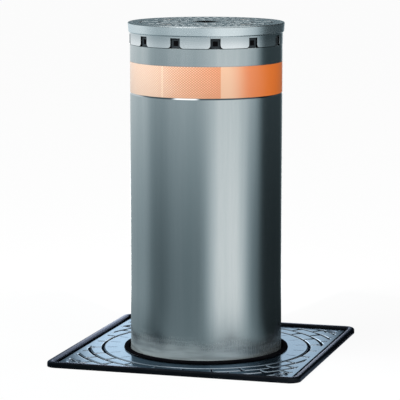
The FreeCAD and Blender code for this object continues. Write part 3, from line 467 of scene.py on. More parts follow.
# Silver tabs brushed round the head, with painted shade at the top going to a painted highlight at the lower
# edge, and painted shade on the slot walls
def brushed_silver():
    material, tree, bsdf = new_material("brushed_silver_look")
    along, height = around_axis(tree)
    squeezed = math_node(tree, "MULTIPLY", along, TAB_STRETCH)
    place = add_node(tree, "ShaderNodeCombineXYZ", {0: squeezed, 1: height}).outputs[0]
    fine = noise(tree, place, TAB_SCALE, 4.0, 0.7)
    # Painted shade under the cap, going down to a painted highlight along the lower edge
    low = ramp(tree, height, SHAFT_TOP * MM, CROWN_TOP * MM, 1.0, 0.0)
    shade_to_highlight = math_node(tree, "ADD", low, spread(tree, fine, -0.12, 0.12))
    colour = mix_colour(tree, shade_to_highlight, rgba(TAB_SHADE_TO_HIGHLIGHT[0]), rgba(TAB_SHADE_TO_HIGHLIGHT[1]))
    flat = add_node(tree, "ShaderNodeVectorMath", {0: object_place(tree), 1: (1.0, 1.0, 0.0)},
                    operation="MULTIPLY").outputs[0]
    reach = add_node(tree, "ShaderNodeVectorMath", {0: flat}, operation="LENGTH").outputs["Value"]
    # Painted shade on the slot walls and inner faces, inside the outer radius
    outside = ramp(tree, reach, (CROWN_R - 1.2) * MM, (CROWN_R - 0.3) * MM, 0.0, 1.0)
    colour = mix_colour(tree, outside, rgba(SLOT_SHADE), colour)
    tree.links.new(colour, bsdf.inputs["Base Color"])
    tree.links.new(spread(tree, fine, 0.16, 0.24), bsdf.inputs["Roughness"])
    bsdf.inputs["Metallic"].default_value = 1.0
    bump(tree, bsdf, fine, 0.15, 0.05 * MM)
    return material


# Plain finishes by slot: two colours, metallic, roughness, scale of clouds and grain, depth, shine, glance
FINISHES = {
    "galvanised_steel": ((0.42, 0.45, 0.47), (0.55, 0.57, 0.59), 0.9, (0.38, 0.55), 30.0, 160.0, 0.05),
    "black_frame": ((0.014, 0.016, 0.020), (0.020, 0.022, 0.027), 1.0, (0.36, 0.44), 25.0, 380.0, 0.05,
                    0.5, (0.72, 0.78, 0.92)),
    "zinc_steel": ((0.50, 0.51, 0.52), (0.60, 0.60, 0.58), 1.0, (0.26, 0.40), 60.0, 500.0, 0.03),
    "painted_steel": ((0.13, 0.14, 0.15), (0.18, 0.19, 0.20), 0.0, (0.42, 0.58), 22.0, 320.0, 0.05),
    "white_nylon": ((0.78, 0.76, 0.70), (0.84, 0.82, 0.77), 0.0, (0.40, 0.52), 26.0, 300.0, 0.03),
    "black_rubber": ((0.003, 0.003, 0.004), (0.005, 0.005, 0.006), 0.0, (0.60, 0.78), 40.0, 420.0, 0.05, 0.0),
    "ground_steel": ((0.56, 0.57, 0.58), (0.64, 0.65, 0.66), 1.0, (0.18, 0.28), 30.0, 600.0, 0.02),
    "cast_aluminium": ((0.55, 0.56, 0.57), (0.66, 0.67, 0.68), 1.0, (0.40, 0.56), 40.0, 260.0, 0.08),
    "motor_paint": ((0.08, 0.14, 0.23), (0.11, 0.18, 0.29), 0.0, (0.34, 0.46), 24.0, 300.0, 0.05),
    "black_plastic": ((0.006, 0.006, 0.007), (0.010, 0.010, 0.011), 0.0, (0.50, 0.62), 60.0, 700.0,
                      0.04, 0.0),
    "grey_plastic": ((0.032, 0.039, 0.044), (0.044, 0.052, 0.057), 0.0, (0.42, 0.56), 90.0, 800.0,
                     0.04, 0.05),
    "lens_black": ((0.004, 0.004, 0.005), (0.007, 0.006, 0.006), 0.0, (0.30, 0.40), 120.0, 500.0, 0.01, 0.0),
    "hard_chrome": ((0.70, 0.71, 0.72), (0.78, 0.79, 0.80), 1.0, (0.05, 0.10), 30.0, 500.0, 0.01),
    "brass": ((0.66, 0.50, 0.22), (0.74, 0.58, 0.28), 1.0, (0.22, 0.34), 50.0, 500.0, 0.02),
    "polished_steel": ((0.60, 0.64, 0.66), (0.66, 0.70, 0.71), 1.0, (0.04, 0.09), 40.0, 600.0, 0.005),
}

LOOKS = {slot: finish_material(slot + "_look", *row) for slot, row in FINISHES.items()}
LOOKS["brushed_stainless"] = stainless()
LOOKS["orange_reflective"] = reflective_film()
LOOKS["silver_tabs"] = brushed_silver()
LOOKS["cover_casting"] = relief_casting(
    "cover_casting_look", (0.42, 0.50, 0.58), (0.48, 0.56, 0.64), top_face_shade=(0.19, 0.23, 0.29),
    joint=(0.005, 0.008, 0.014), metallic=1.0, roughness=(0.12, 0.22), glance=(0.37, 0.43, 0.47), depth=0.06)
LOOKS["head_silver"] = relief_casting(
    "head_silver_look", (0.78, 0.85, 0.87), (0.82, 0.89, 0.91), top_face_shade=(0.42, 0.51, 0.54),
    joint=(0.09, 0.11, 0.12), metallic=0.98, roughness=(0.26, 0.28), glance=(0.84, 0.90, 0.93), depth=0.01)

# Every solid of the CAD gets the look of its slot
for row in frame["record"]["subparts"]:
    solid = frame["nodes"][row["node"]]
    solid.data.materials.clear()
    solid.data.materials.append(LOOKS[row["material_slot"]])


# Shaft: the tube with the band's groove, and a polished ring for the chamfer below the band
def shaft():
    inner_r = SHAFT_R - SHAFT_WALL
    chamfer_foot = BAND_FOOT - BAND_CHAMFER
    ring_r = BAND_SEAT_R - 1
    steps = [SHAFT_FOOT, -60, 60, 180, 300, 400, chamfer_foot]
    profile = [(SHAFT_R, height) for height in steps]
    profile += [(ring_r, chamfer_foot), (ring_r, BAND_FOOT)]
    groove_top = BAND_TOP + BAND_CLEAR
    profile += [(BAND_SEAT_R, BAND_FOOT), (BAND_SEAT_R, groove_top), (SHAFT_R - BAND_LEAD, groove_top)]
    profile += [(SHAFT_R, groove_top + BAND_LEAD), (SHAFT_R, SHAFT_TOP - SHAFT_EDGE)]
    profile += [(SHAFT_R - SHAFT_EDGE, SHAFT_TOP)]
    profile += [(inner_r, SHAFT_TOP), (inner_r, SHAFT_FOOT)]
    piece = mesh_piece("shaft_skin", *turned(profile, ROUND_STEPS), "shaft", "brushed_stainless",
                       LOOKS["brushed_stainless"], 25)
    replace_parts(piece, "shaft_tube")
    profile = [(ring_r, chamfer_foot), (SHAFT_R - 0.1, chamfer_foot), (SHAFT_R - 0.1, chamfer_foot + 0.2),
               (BAND_SEAT_R + 0.1, BAND_FOOT - 0.2), (BAND_SEAT_R, BAND_FOOT), (ring_r, BAND_FOOT)]
    mesh_piece("polished_chamfer", *turned(profile, ROUND_STEPS), "shaft", "brushed_stainless",
               LOOKS["polished_steel"], 12)


# Reflective band: a closed film, with coordinates laid out flat for its marks
def band():
    segments = ROUND_STEPS
    profile = [(BAND_SEAT_R, BAND_FOOT), (BAND_R - 0.1, BAND_FOOT), (BAND_R, BAND_FOOT + 0.4),
               (BAND_R, (BAND_FOOT + BAND_TOP) / 2), (BAND_R, BAND_TOP - 0.4), (BAND_R - 0.1, BAND_TOP),
               (BAND_SEAT_R, BAND_TOP)]
    piece = mesh_piece("band_film", *turned(profile, segments), "shaft", "orange_reflective",
                       LOOKS["orange_reflective"], 50)
    layer = piece.data.uv_layers.new(name="film")
    count = len(profile)
    for polygon in piece.data.polygons:
        at_seam = {corner // count for corner in polygon.vertices} == {0, segments - 1}
        for loop in polygon.loop_indices:
            corner = piece.data.loops[loop].vertex_index
            step = corner // count
            if at_seam and step == 0:
                step = segments
            along = step * 2 * math.pi * BAND_R / segments
            layer.data[loop].uv = (along, profile[corner % count][1] - BAND_FOOT)
    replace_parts(piece, "reflective_band")


# Lamp crown: a hoop with tabs, its lower edge followed column by column
def crown():
    pitch = 360 / LAMP_COUNT
    half_slot = math.degrees(math.asin(LAMP_SLOT / 2 / CROWN_R))
    round_span = math.degrees(TAB_ROUND / CROWN_R)
    columns = []
    for lamp in range(LAMP_COUNT):
        slot_at = LAMP_TURN - 90 + lamp * pitch
        slot_z = CROWN_TOP - CROWN_HOOP
        columns += [(slot_at + half_slot * share, slot_z) for share in (-1, -0.5, 0, 0.5, 1)]
        for step in range(7):
            turn = math.radians(90 * step / 6)
            columns.append((slot_at + half_slot + round_span * (1 - math.cos(turn)),
                            TAB_FOOT + TAB_ROUND * (1 - math.sin(turn))))
        tab_first = slot_at + half_slot + round_span
        tab_last = slot_at + pitch - half_slot - round_span
        columns += [(tab_first + (tab_last - tab_first) * step / 8, TAB_FOOT) for step in range(1, 8)]
        for step in range(7):
            turn = math.radians(90 - 90 * step / 6)
            columns.append((slot_at + pitch - half_slot - round_span * (1 - math.cos(turn)),
                            TAB_FOOT + TAB_ROUND * (1 - math.sin(turn))))
    points = []
    for bearing, low in columns:
        cos, sin = math.cos(math.radians(bearing)), math.sin(math.radians(bearing))
        middle = max(low, CROWN_TOP - CROWN_HOOP)
        section = [(CROWN_R, low), (CROWN_R, middle), (CROWN_R, CROWN_TOP)]
        section += [(CROWN_IN_R, CROWN_TOP), (CROWN_IN_R, middle), (CROWN_IN_R, low)]
        points += [(radius * cos, radius * sin, height) for radius, height in section]
    faces = swept_faces(len(columns), len(section))
    piece = mesh_piece("crown_tabs", points, faces, "shaft", "head_silver", LOOKS["silver_tabs"], 30)
    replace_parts(bevel(piece, 0.5, 2, 50), "lamp_crown")


# Lamp boxes between the tabs on a ring, each with a square recess and a lens in it
def lamps():
    boxes = [turned([(LAMP_RING_IN_R, SHAFT_TOP), (LAMP_RING_R, SHAFT_TOP), (LAMP_RING_R, LAMP_RING_TOP),
                     (LAMP_RING_IN_R, LAMP_RING_TOP)], 96)]
    back_r = LAMP_FACE_R - RECESS_DEEP
    pane_r = back_r + LENS_THICK
    outline = [(back_r, -LENS_HALF), (pane_r, -LENS_HALF), (pane_r, LENS_HALF), (back_r, LENS_HALF)]
    lens = polygon_block(outline, LAMP_MIDDLE - LENS_HALF, LAMP_MIDDLE + LENS_HALF)
    lenses = []
    for lamp in range(LAMP_COUNT):
        bearing = LAMP_TURN - 90 + lamp * 360 / LAMP_COUNT
        boxes.append(moved(lamp_box(), turn=bearing))
        lenses.append(moved(lens, turn=bearing))
    ring = mesh_piece("lamp_boxes", *joined(boxes), "shaft", "grey_plastic", LOOKS["grey_plastic"], 30)
    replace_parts(bevel(ring, 0.3), "led_ring")
    panes = mesh_piece("lamp_panes", *joined(lenses), "shaft", "lens_black", LOOKS["lens_black"], 30)
    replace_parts(bevel(panes, 0.6, 3), "led_lenses")


def lamp_box():
    """A box with a square recess in its outer face."""
    half = LAMP_SLOT / 2 - 0.5
    whole = (half, SHAFT_TOP, CROWN_TOP - CROWN_HOOP - 0.5)
    recess = (RECESS_HALF, LAMP_MIDDLE - RECESS_HALF, LAMP_MIDDLE + RECESS_HALF)
    rings = [(LAMP_BACK_R, *whole), (LAMP_FACE_R, *whole), (LAMP_FACE_R, *recess)]
    rings.append((LAMP_FACE_R - RECESS_DEEP, *recess))
    points = []
    for reach, side, low, high in rings:
        points += [(reach, -side, low), (reach, side, low), (reach, side, high), (reach, -side, high)]
    faces = [(3, 2, 1, 0), (12, 13, 14, 15)]
    return points, faces + stacked_faces(len(rings), 4)


# Polar relief: a field of rows and columns whose height and joint mask come from a function
def polar_field(radii, columns, start, limit, level):
    """Points, faces and mask of a relief; limit(bearing) is its outer radius there."""
    points = []
    mask = []
    for step in range(columns):
        bearing = math.radians(start + 360 * step / columns)
        cos, sin = math.cos(bearing), math.sin(bearing)
        edge = limit(bearing)
        for radius in radii:
            reach = min(radius, edge)
            depth, joint = level(reach, bearing, reach * cos, reach * sin)
            points.append((reach * cos, reach * sin, -depth))
            mask.append(joint)
    count = len(radii)
    faces = []
    for step in range(columns):
        here = step * count
        there = (step + 1) % columns * count
        for number in range(count - 1):
            corners = (here + number, here + number + 1, there + number + 1, there + number)
            if points[corners[0]] != points[corners[1]] or points[corners[3]] != points[corners[2]]:
                faces.append(corners)
    return points, faces, mask


def add_skirt(points, faces, mask, columns, start, rows):
    """Rows below a relief's outer edge, and their first point; rows(bearing) lists radius, drop and mask."""
    first = len(points)
    count = first // columns
    for step in range(columns):
        bearing = math.radians(start + 360 * step / columns)
        for radius, drop, joint in rows(bearing):
            points.append((radius * math.cos(bearing), radius * math.sin(bearing), -drop))
            mask.append(joint)
    width = (len(points) - first) // columns
    for step in range(columns):
        after = (step + 1) % columns
        here, there = first + step * width, first + after * width
        faces.append((step * count + count - 1, here, there, after * count + count - 1))
        for number in range(width - 1):
            faces.append((here + number, here + number + 1, there + number + 1, there + number))
    return first


def joint_profile(distance, half, slope):
    """One inside a joint, falling to nothing over its rounded edge."""
    return 1 - smooth_step(half - slope / 2, half + slope / 2, abs(distance))


def square_limit(half, corner):
    """Outer radius of a square with rounded corners, by bearing."""
    flat = half - corner

    def limit(bearing):
        cos, sin = abs(math.cos(bearing)), abs(math.sin(bearing))
        longer, shorter = max(cos, sin), min(cos, sin)
        reach = half / longer
        if reach * shorter <= flat:
            return reach
        along = flat * (longer + shorter)
        return along + math.sqrt(max(0.0, along * along - 2 * flat * flat + corner * corner))
    return limit


# Cover plate: concentric grooves and staggered links, wider where they meet
GROOVE_DEPTH = 3.0
BLOB_DEPTH = 3.4
TICK_DEPTH = 0.5
SINK_DEPTH = 1.8
# Half width and soft edge of each kind of joint, and where the ticks and the screws' sinks lie
GROOVE_JOINT = (2.4, 1.6)
LINK_JOINT = (1.4, 1.3)
BLOB_JOINT = (3.6, 1.6)
TICK_JOINT = (0.8, 1.0)
TICK_SPAN = (162, 180)
TICK_SOFT = 1.5
SINK_SPAN = (8.8, 11.5)
# Radii at which the relief has rows of points: before the grooves, about each groove, and past the corners
PLAIN_RADII = [158, 161, 162.5, 165, 172, 179, 180.5, 183]
CORNER_REACH = 302
GROOVE_STEPS = (-11, -9, -7, -5, -3.3, -2.7, -2.1, -1.5, 0, 1.5, 2.1, 2.7, 3.3, 5, 8, 11)
# Rounded edge of the plate and its skirt: inset, drop and how dark; the dark on the skirt is painted shade in
# the gap to the frame
COVER_EDGE = [(0.6, 0.15, 0.0), (0.15, 0.6, 0.3), (0.0, 1.3, 1.0), (0.0, COVER_TOP - COVER_FOOT, 1.0)]


def cover():
    field_half = COVER_HALF - GROOVE_MARGIN
    limit = square_limit(COVER_HALF - COVER_ROUND, COVER_CORNER - COVER_ROUND)
    inner_r = BORE_R + BORE_RING_WIDTH + BORE_RING_GAP

    def level(radius, bearing, x, y):
        inside = smooth_step(0, 2.5, field_half - max(abs(x), abs(y)))
        groove = 0.0
        for row in range(GROOVE_ROWS):
            groove = max(groove, joint_profile(radius - GROOVE_FIRST - row * GROOVE_PITCH, *GROOVE_JOINT))
        row = math.floor((radius - GROOVE_FIRST) / GROOVE_PITCH)
        link = 0.0
        blob = 0.0
        if row >= 0:
            stagger = LINK_START + LINK_STEP / 2 * (row % 2)
            turn = (math.degrees(bearing) - stagger + LINK_STEP / 2) % LINK_STEP - LINK_STEP / 2
            off = radius * math.radians(turn)
            link = joint_profile(off, *LINK_JOINT)
            outer = GROOVE_FIRST + (row + 1) * GROOVE_PITCH
            blob = joint_profile(math.hypot(off, (radius - outer + 3) * 0.5), *BLOB_JOINT)
        tick_turn = (math.degrees(bearing) - LINK_START) % LINK_STEP
        tick_off = radius * math.radians(min(tick_turn, LINK_STEP - tick_turn))
        tick = joint_profile(tick_off, *TICK_JOINT)
        tick *= smooth_step(TICK_SPAN[0], TICK_SPAN[0] + TICK_SOFT, radius)
        tick *= 1 - smooth_step(TICK_SPAN[1], TICK_SPAN[1] + TICK_SOFT, radius)
        depth = inside * max(GROOVE_DEPTH * groove, GROOVE_DEPTH * link, BLOB_DEPTH * blob)
        joint = inside * max(groove, link, blob)
        # The screws' sinks get half the mask, painted shade round the screw heads
        screw = math.hypot(abs(x) - COVER_SCREW_OUT, abs(y) - COVER_SCREW_OUT)
        sink = 1 - smooth_step(SINK_SPAN[0], SINK_SPAN[1], screw)
        return max(depth, TICK_DEPTH * tick, SINK_DEPTH * sink), max(joint, 0.45 * tick, 0.5 * sink)

    radii = [inner_r, inner_r + 0.4, inner_r + 1.2] + PLAIN_RADII
    for row in range(GROOVE_ROWS):
        radii += [GROOVE_FIRST + row * GROOVE_PITCH + step for step in GROOVE_STEPS]
    radii = sorted(set(radii)) + [CORNER_REACH]
    points, faces, mask = polar_field(radii, COVER_COLUMNS, LINK_START, limit, level)
    count = len(radii)
    outer = square_limit(COVER_HALF, COVER_CORNER)
    # The skirt's mask is painted shade in the gap between the plate and the frame
    add_skirt(points, faces, mask, COVER_COLUMNS, LINK_START,
              lambda bearing: [(outer(bearing) - inset, drop, dark) for inset, drop, dark in COVER_EDGE])
    # A ring of points at the foot of the bore, with the full mask: painted shade on the bore's wall round the
    # shaft
    bore_foot = len(points)
    for step in range(COVER_COLUMNS):
        bearing = math.radians(LINK_START + 360 * step / COVER_COLUMNS)
        points.append((inner_r * math.cos(bearing), inner_r * math.sin(bearing), -COVER_THICK))
        mask.append(1.0)
    for step in range(COVER_COLUMNS):
        after = (step + 1) % COVER_COLUMNS
        faces.append((step * count, after * count, bore_foot + after, bore_foot + step))
    lifted = [(x, y, z + COVER_TOP) for x, y, z in points]
    piece = mesh_piece("cover_relief", lifted, faces, "ground_unit", "cover_casting",
                       LOOKS["cover_casting"], 60)
    set_attribute(piece, "joint", mask)
    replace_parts(piece, "cover_plate")


# Head cap: bricks in rings with dark joints, a pocket for the plug and sinks for the screws
CAP_RINGS = [32.75, 50, 67.25, 84.5, 101.75, 119, 134]
CAP_MAIN_RINGS = (50, 84.5, 119)
CAP_MAIN_STEP = 30
# First bearing and step of the links between one ring and the next, in degrees
CAP_LINKS = [(11, 20), (1, 15), (1, 10), (16, 10), (16, 7.5), (12.25, 7.5)]
# Half width and share of the depth, of the main joints and of the fine ones
CAP_MAIN = (2.4, 1.0)
CAP_FINE = (1.8, 0.35)
# Soft edge of the joints, half width and soft edge of the blobs, and depth of joint, pocket and sink
CAP_SOFT = 1.2
CAP_BLOB = (4.0, 1.6)
CAP_DEPTHS = (1.8, 4.0, 2.0)
POCKET_EDGE = (0.2, 1.0)
CAP_SINK = (12.1, 13.1)
CAP_FIELD_R = 137
CAP_JOINT_STEPS = (-3.4, -2.6, -1.8, -1.0, 0, 1.0, 1.8, 2.6, 3.4, 6, 9, 11.5)
# Rounded edge and slightly conical side of the cap: radius, drop and how dark
CAP_EDGE = [(139.2, 0.0, 0.0), (140.2, 0.35, 0.0), (140.9, 1.0, 0.0), (CAP_R, 2.0, 0.0),
            (CAP_R - 0.04, 2.5, 0.0), (140.05, 15.9, 0.0), (140.0, 16.5, 0.0), (138.5, 18.0, 0.0),
            (128, 18.0, 0.0)]


def cap_screw_places():
    bearings = [math.radians(SCREW_TURN + 90 * n) for n in range(4)]
    return [(SCREW_RING_R * math.cos(bearing), SCREW_RING_R * math.sin(bearing)) for bearing in bearings]


def cap():
    screws = cap_screw_places()
    turn_cos, turn_sin = math.cos(math.radians(PLUG_TURN)), math.sin(math.radians(PLUG_TURN))

    def level(radius, bearing, x, y):
        joint = 0.0
        for centre in CAP_RINGS:
            half, share = CAP_MAIN if centre in CAP_MAIN_RINGS else CAP_FINE
            joint = max(joint, share * joint_profile(radius - centre, half, CAP_SOFT))
        for number, (start, step) in enumerate(CAP_LINKS):
            if CAP_RINGS[number] <= radius <= CAP_RINGS[number + 1]:
                turn = (math.degrees(bearing) - start + step / 2) % step - step / 2
                main_turn = (math.degrees(bearing) - start) % CAP_MAIN_STEP
                main = 0 < number < 5 and min(main_turn, CAP_MAIN_STEP - main_turn) < step / 2
                half, share = CAP_MAIN if main else CAP_FINE
                off = radius * math.radians(turn)
                joint = max(joint, share * joint_profile(off, half, CAP_SOFT))
                blob = math.hypot(off, radius - CAP_RINGS[number + 1])
                joint = max(joint, share * joint_profile(blob, *CAP_BLOB))
        along = abs(x * turn_cos + y * turn_sin)
        across = abs(y * turn_cos - x * turn_sin)
        past = max(along, across) - PLUG_SIDE / 2
        pocket = 1 - smooth_step(POCKET_EDGE[0], POCKET_EDGE[1], past)
        near = min(math.hypot(x - sx, y - sy) for sx, sy in screws)
        sink = 1 - smooth_step(CAP_SINK[0], CAP_SINK[1], near)
        # The mask darkens the joints, and paints shade into the plug's pocket and the screws' sinks
        marks = (joint, pocket, sink)
        return max(deep * mark for deep, mark in zip(CAP_DEPTHS, marks)), max(marks)

    radii = [2 * step for step in range(1, 8)] + [18 + 0.8 * step for step in range(15)]
    for centre in CAP_RINGS:
        radii += [centre + step for step in CAP_JOINT_STEPS]
    radii = sorted(radius for radius in set(radii) if radius <= CAP_FIELD_R) + [CAP_FIELD_R + 0.8]
    points, faces, mask = polar_field(radii, CAP_COLUMNS, 0, lambda bearing: CAP_R, level)
    count = len(radii)
    side = add_skirt(points, faces, mask, CAP_COLUMNS, 0, lambda bearing: CAP_EDGE)
    faces.append(tuple(step * count for step in range(CAP_COLUMNS)))
    last = side + len(CAP_EDGE) - 1
    faces.append(tuple(last + step * len(CAP_EDGE) for step in reversed(range(CAP_COLUMNS))))
    lifted = [(x, y, z + CAP_TOP) for x, y, z in points]
    piece = mesh_piece("cap_relief", lifted, faces, "shaft", "head_silver", LOOKS["head_silver"], 60)
    set_attribute(piece, "joint", mask)
    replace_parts(piece, "head_cap")


# Square plug in its pocket, a cup with a thin wall
def plug():
    half = PLUG_SIDE / 2
    foot = PLUG_TOP - PLUG_THICK
    inner = half - PLUG_WALL
    levels = [(half, foot), (half, PLUG_TOP), (inner, PLUG_TOP), (inner - 0.5, PLUG_TOP - 0.6),
              (inner - 1, foot + PLUG_FLOOR)]
    points = []
    for size, height in levels:
        points += [(size, size, height), (-size, size, height), (-size, -size, height), (size, -size, height)]
    faces = [(3, 2, 1, 0), (16, 17, 18, 19)] + stacked_faces(len(levels), 4)
    piece = mesh_piece("plug_dish", *moved((points, faces), turn=PLUG_TURN), "shaft", "black_plastic",
                       LOOKS["black_plastic"], 30)
    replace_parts(bevel(piece, 0.4, 2), "release_plug")


# Frame: a black rim swept round the square, with the ledge inside
def rim():
    top = RIM_TOP - RIM_ROUND
    profile = [(0, FRAME_FOOT), (0, top)]
    for turn in range(15, 91, 15):
        angle = math.radians(turn)
        profile.append((RIM_ROUND * (1 - math.cos(angle)), top + RIM_ROUND * math.sin(angle)))
    inner = RIM_WIDTH - RIM_ROUND
    for turn in range(0, 91, 15):
        angle = math.radians(turn)
        profile.append((inner + RIM_ROUND * math.sin(angle), top + RIM_ROUND * math.cos(angle)))
    ledge_end = RIM_WIDTH + LEDGE_WIDTH
    profile += [(RIM_WIDTH, LEDGE_TOP), (ledge_end, LEDGE_TOP), (ledge_end, FRAME_FOOT)]
    corner_steps = 12
    points = []
    for quarter, (sx, sy) in enumerate(((1, 1), (-1, 1), (-1, -1), (1, -1))):
        for step in range(corner_steps + 1):
            bearing = math.radians(90 * quarter + 90 * step / corner_steps)
            cos, sin = math.cos(bearing), math.sin(bearing)
            for inset, height in profile:
                radius = max(0.0, FRAME_CORNER - inset)
                centre = min(FRAME_HALF - FRAME_CORNER, FRAME_HALF - inset)
                points.append((sx * centre + radius * cos, sy * centre + radius * sin, height))
    faces = swept_faces(len(points) // len(profile), len(profile))
    piece = mesh_piece("frame_rim", points, faces, "ground_unit", "black_frame", LOOKS["black_frame"], 35)
    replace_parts(piece, "frame")


# Thin ring round the bore, and the rubber lip inside it with its flange on the ring
def bore():
    outer = BORE_R + BORE_RING_WIDTH - 0.2
    foot = COVER_TOP - BORE_RING_THICK
    profile = [(BORE_R, foot), (outer, foot), (outer, COVER_TOP - 0.7), (outer - 0.7, COVER_TOP),
               (BORE_R + 0.3, COVER_TOP), (BORE_R, COVER_TOP - 0.3)]
    ring = mesh_piece("bore_lining", *turned(profile, 192), "ground_unit", "cover_casting",
                      LOOKS["cover_casting"], 50)
    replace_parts(ring, "bore_ring")
    foot = COVER_TOP - COVER_THICK
    top = COVER_TOP + LIP_THICK
    profile = [(LIP_IN_R, foot), (BORE_R, foot), (BORE_R, COVER_TOP), (LIP_OUT_R, COVER_TOP)]
    profile += [(LIP_OUT_R, top - 0.8), (LIP_OUT_R - 0.25, top - 0.25), (LIP_OUT_R - 0.8, top)]
    profile += [(LIP_IN_R + 0.4, top), (LIP_IN_R, top - 0.4)]
    lip = mesh_piece("bore_lip_ring", *turned(profile, ROUND_STEPS), "ground_unit", "black_rubber",
                     LOOKS["black_rubber"], 40)
    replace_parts(lip, "bore_lip")


# Socket screws: a head with a hexagon recess, and a plain shank
def socket_head(radius, foot, top, deep):
    sides = 36
    bearings = [2 * math.pi * n / sides for n in range(sides)]
    points = []
    for reach, height in ((radius, foot), (radius, top - SCREW_CHAMFER), (radius - SCREW_CHAMFER, top)):
        points += [(reach * math.cos(bearing), reach * math.sin(bearing), height) for bearing in bearings]
    for height in (top, top - deep):
        for bearing in bearings:
            reach = SOCKET_HALF / math.cos((bearing + math.pi / 6) % (math.pi / 3) - math.pi / 6)
            points.append((reach * math.cos(bearing), reach * math.sin(bearing), height))
    faces = [tuple(reversed(range(sides))), tuple(4 * sides + n for n in range(sides))]
    return points, faces + stacked_faces(5, sides)


def screw_shank(radius, foot, top):
    return turned([(radius, foot), (radius, top), (SHANK_CORE_R, top), (SHANK_CORE_R, foot)], 24)


def screws():
    head = socket_head(COVER_SCREW_R, COVER_SCREW_FOOT, COVER_SCREW_TOP, COVER_SOCKET_DEEP)
    shank = screw_shank(COVER_SHANK_R, COVER_SHANK_END, COVER_SCREW_FOOT)
    places = [(sx * COVER_SCREW_OUT, sy * COVER_SCREW_OUT) for sx in (-1, 1) for sy in (-1, 1)]
    heads = [moved(part, x, y) for part in (head, shank) for x, y in places]
    piece = mesh_piece("cover_screw_heads", *joined(heads), "ground_unit", "zinc_steel",
                       LOOKS["cover_casting"], 30)
    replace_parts(piece, "cover_screws")
    head = socket_head(CAP_SCREW_R, CAP_SCREW_FOOT, CAP_TOP, CAP_SOCKET_DEEP)
    shank = screw_shank(CAP_SHANK_R, CAP_SHANK_END, CAP_SCREW_FOOT)
    heads = [moved(part, x, y) for part in (head, shank) for x, y in cap_screw_places()]
    piece = mesh_piece("cap_screw_heads", *joined(heads), "shaft", "zinc_steel", LOOKS["zinc_steel"], 30)
    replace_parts(piece, "head_screws")


shaft()
band()
crown()
lamps()
cover()
cap()
plug()
rim()
bore()
screws()


# Studio: a pale floor, its half side in metres and its hole in millimetres, and how white it is to the eye
FLOOR_HALF = 40.0
FLOOR_HOLE = FRAME_HALF - 6
FLOOR_TONES = ((0.84, 0.84, 0.84), (0.88, 0.88, 0.88))
FLOOR_WHITE = 0.94
# Soft light of the world, away from the eye
WORLD_SOFT = 0.5
LIGHT_AIM = (0, 0, 0.3)


def bright_to_eye(tree):
    """One where the camera, a mirror or glass looks, and nothing for soft light."""
    path = add_node(tree, "ShaderNodeLightPath").outputs
    seen = math_node(tree, "MAXIMUM", path["Is Camera Ray"], path["Is Glossy Ray"])
    return math_node(tree, "MAXIMUM", seen, path["Is Transmission Ray"])


def studio_world():
    world = bpy.data.worlds.new("studio")
    world.use_nodes = True
    tree = world.node_tree
    background = tree.nodes["Background"]
    background.inputs["Color"].default_value = (1.0, 1.0, 1.0, 1.0)
    strength = ramp(tree, bright_to_eye(tree), 0.0, 1.0, WORLD_SOFT, 1.0)
    tree.links.new(strength, background.inputs["Strength"])
    bpy.context.scene.world = world


def stage_piece(name, points, faces, material):
    """A piece of the studio from points in metres, left out of the part."""
    mesh = bpy.data.meshes.new(name)
    mesh.from_pydata(points, [], faces)
    mesh.materials.append(material)
    piece = bpy.data.objects.new(name, mesh)
    bpy.context.scene.collection.objects.link(piece)
    return piece


def floor():
    """Pale paving level with a square hole under the frame's rim."""
    points = []
    for size in (FLOOR_HALF, FLOOR_HOLE * MM):
        points += [(-size, -size, 0), (size, -size, 0), (size, size, 0), (-size, size, 0)]
    material, tree, bsdf = new_material("studio_floor_look")
    cloud = noise(tree, object_place(tree), 3.0)
    pale = mix_colour(tree, cloud, rgba(FLOOR_TONES[0]), rgba(FLOOR_TONES[1]))
    tree.links.new(pale, bsdf.inputs["Base Color"])
    bsdf.inputs["Roughness"].default_value = 0.9
    bsdf.inputs["Specular IOR Level"].default_value = 0.0
    white = add_node(tree, "ShaderNodeEmission", {"Color": (1.0, 1.0, 1.0, 1.0), "Strength": 1.0})
    share = math_node(tree, "MULTIPLY", bright_to_eye(tree), FLOOR_WHITE)
    blend = add_node(tree, "ShaderNodeMixShader", {0: share, 1: bsdf.outputs[0], 2: white.outputs[0]})
    tree.links.new(blend.outputs[0], tree.nodes["Material Output"].inputs["Surface"])
    stage_piece("studio_floor", points, stacked_faces(2, 4), material)


# Tones of the studio wall that metal mirrors, low down and high up, and the heights between which they change
WALL_TONES = (0.24, 0.72)
WALL_RISE = (0.05, 0.70)
# Dimming of the wall above the head: where it starts and ends, and how much it takes away
WALL_DIM = (0.59, 0.66, 0.8)
# Cards on the wall: middle and half width in degrees to the camera's right, soft edge, tone low and high
CARDS = [(-128, 38, 24, 0.40, 0.90), (-66, 14, 22, 0.16, 0.60), (30, 25, 30, 0.98, 0.80),
         (114, 36, 22, 0.03, 0.08)]
# Bright screen behind: where it starts, its tone low down on the left and on the right, and high up
SCREEN = (156, 3.9, 2.8, 1.25)
SCREEN_FADE = (0.17, 0.36)
SCREEN_SOFT = 4
# Soft box on the wall: middle, half width, lowest and highest edge in metres, tone
SOFT_BOX = (-30, 19, 0.68, 0.96, 1.7)
SOFT_BOX_EDGE = (6, 3)
WALL_R = 0.65
WALL_LEVELS = (0.02, 0.10, 0.19, 0.28, 0.37, 0.42, 0.46, 0.50, 0.55, 0.60, 0.66, 0.69, 0.95, 0.98, 1.3)
WALL_SHADE = (0.64, 0.89, 1.0)
# Floor of the mirrored room, a little above the paving: its tone before the shaft, and where that ends
FRONT_FLOOR = (0.46, 80)
FRONT_SOFT = 30
FLOOR_LIFT = 0.0004
FLOOR_RING_R = 0.40


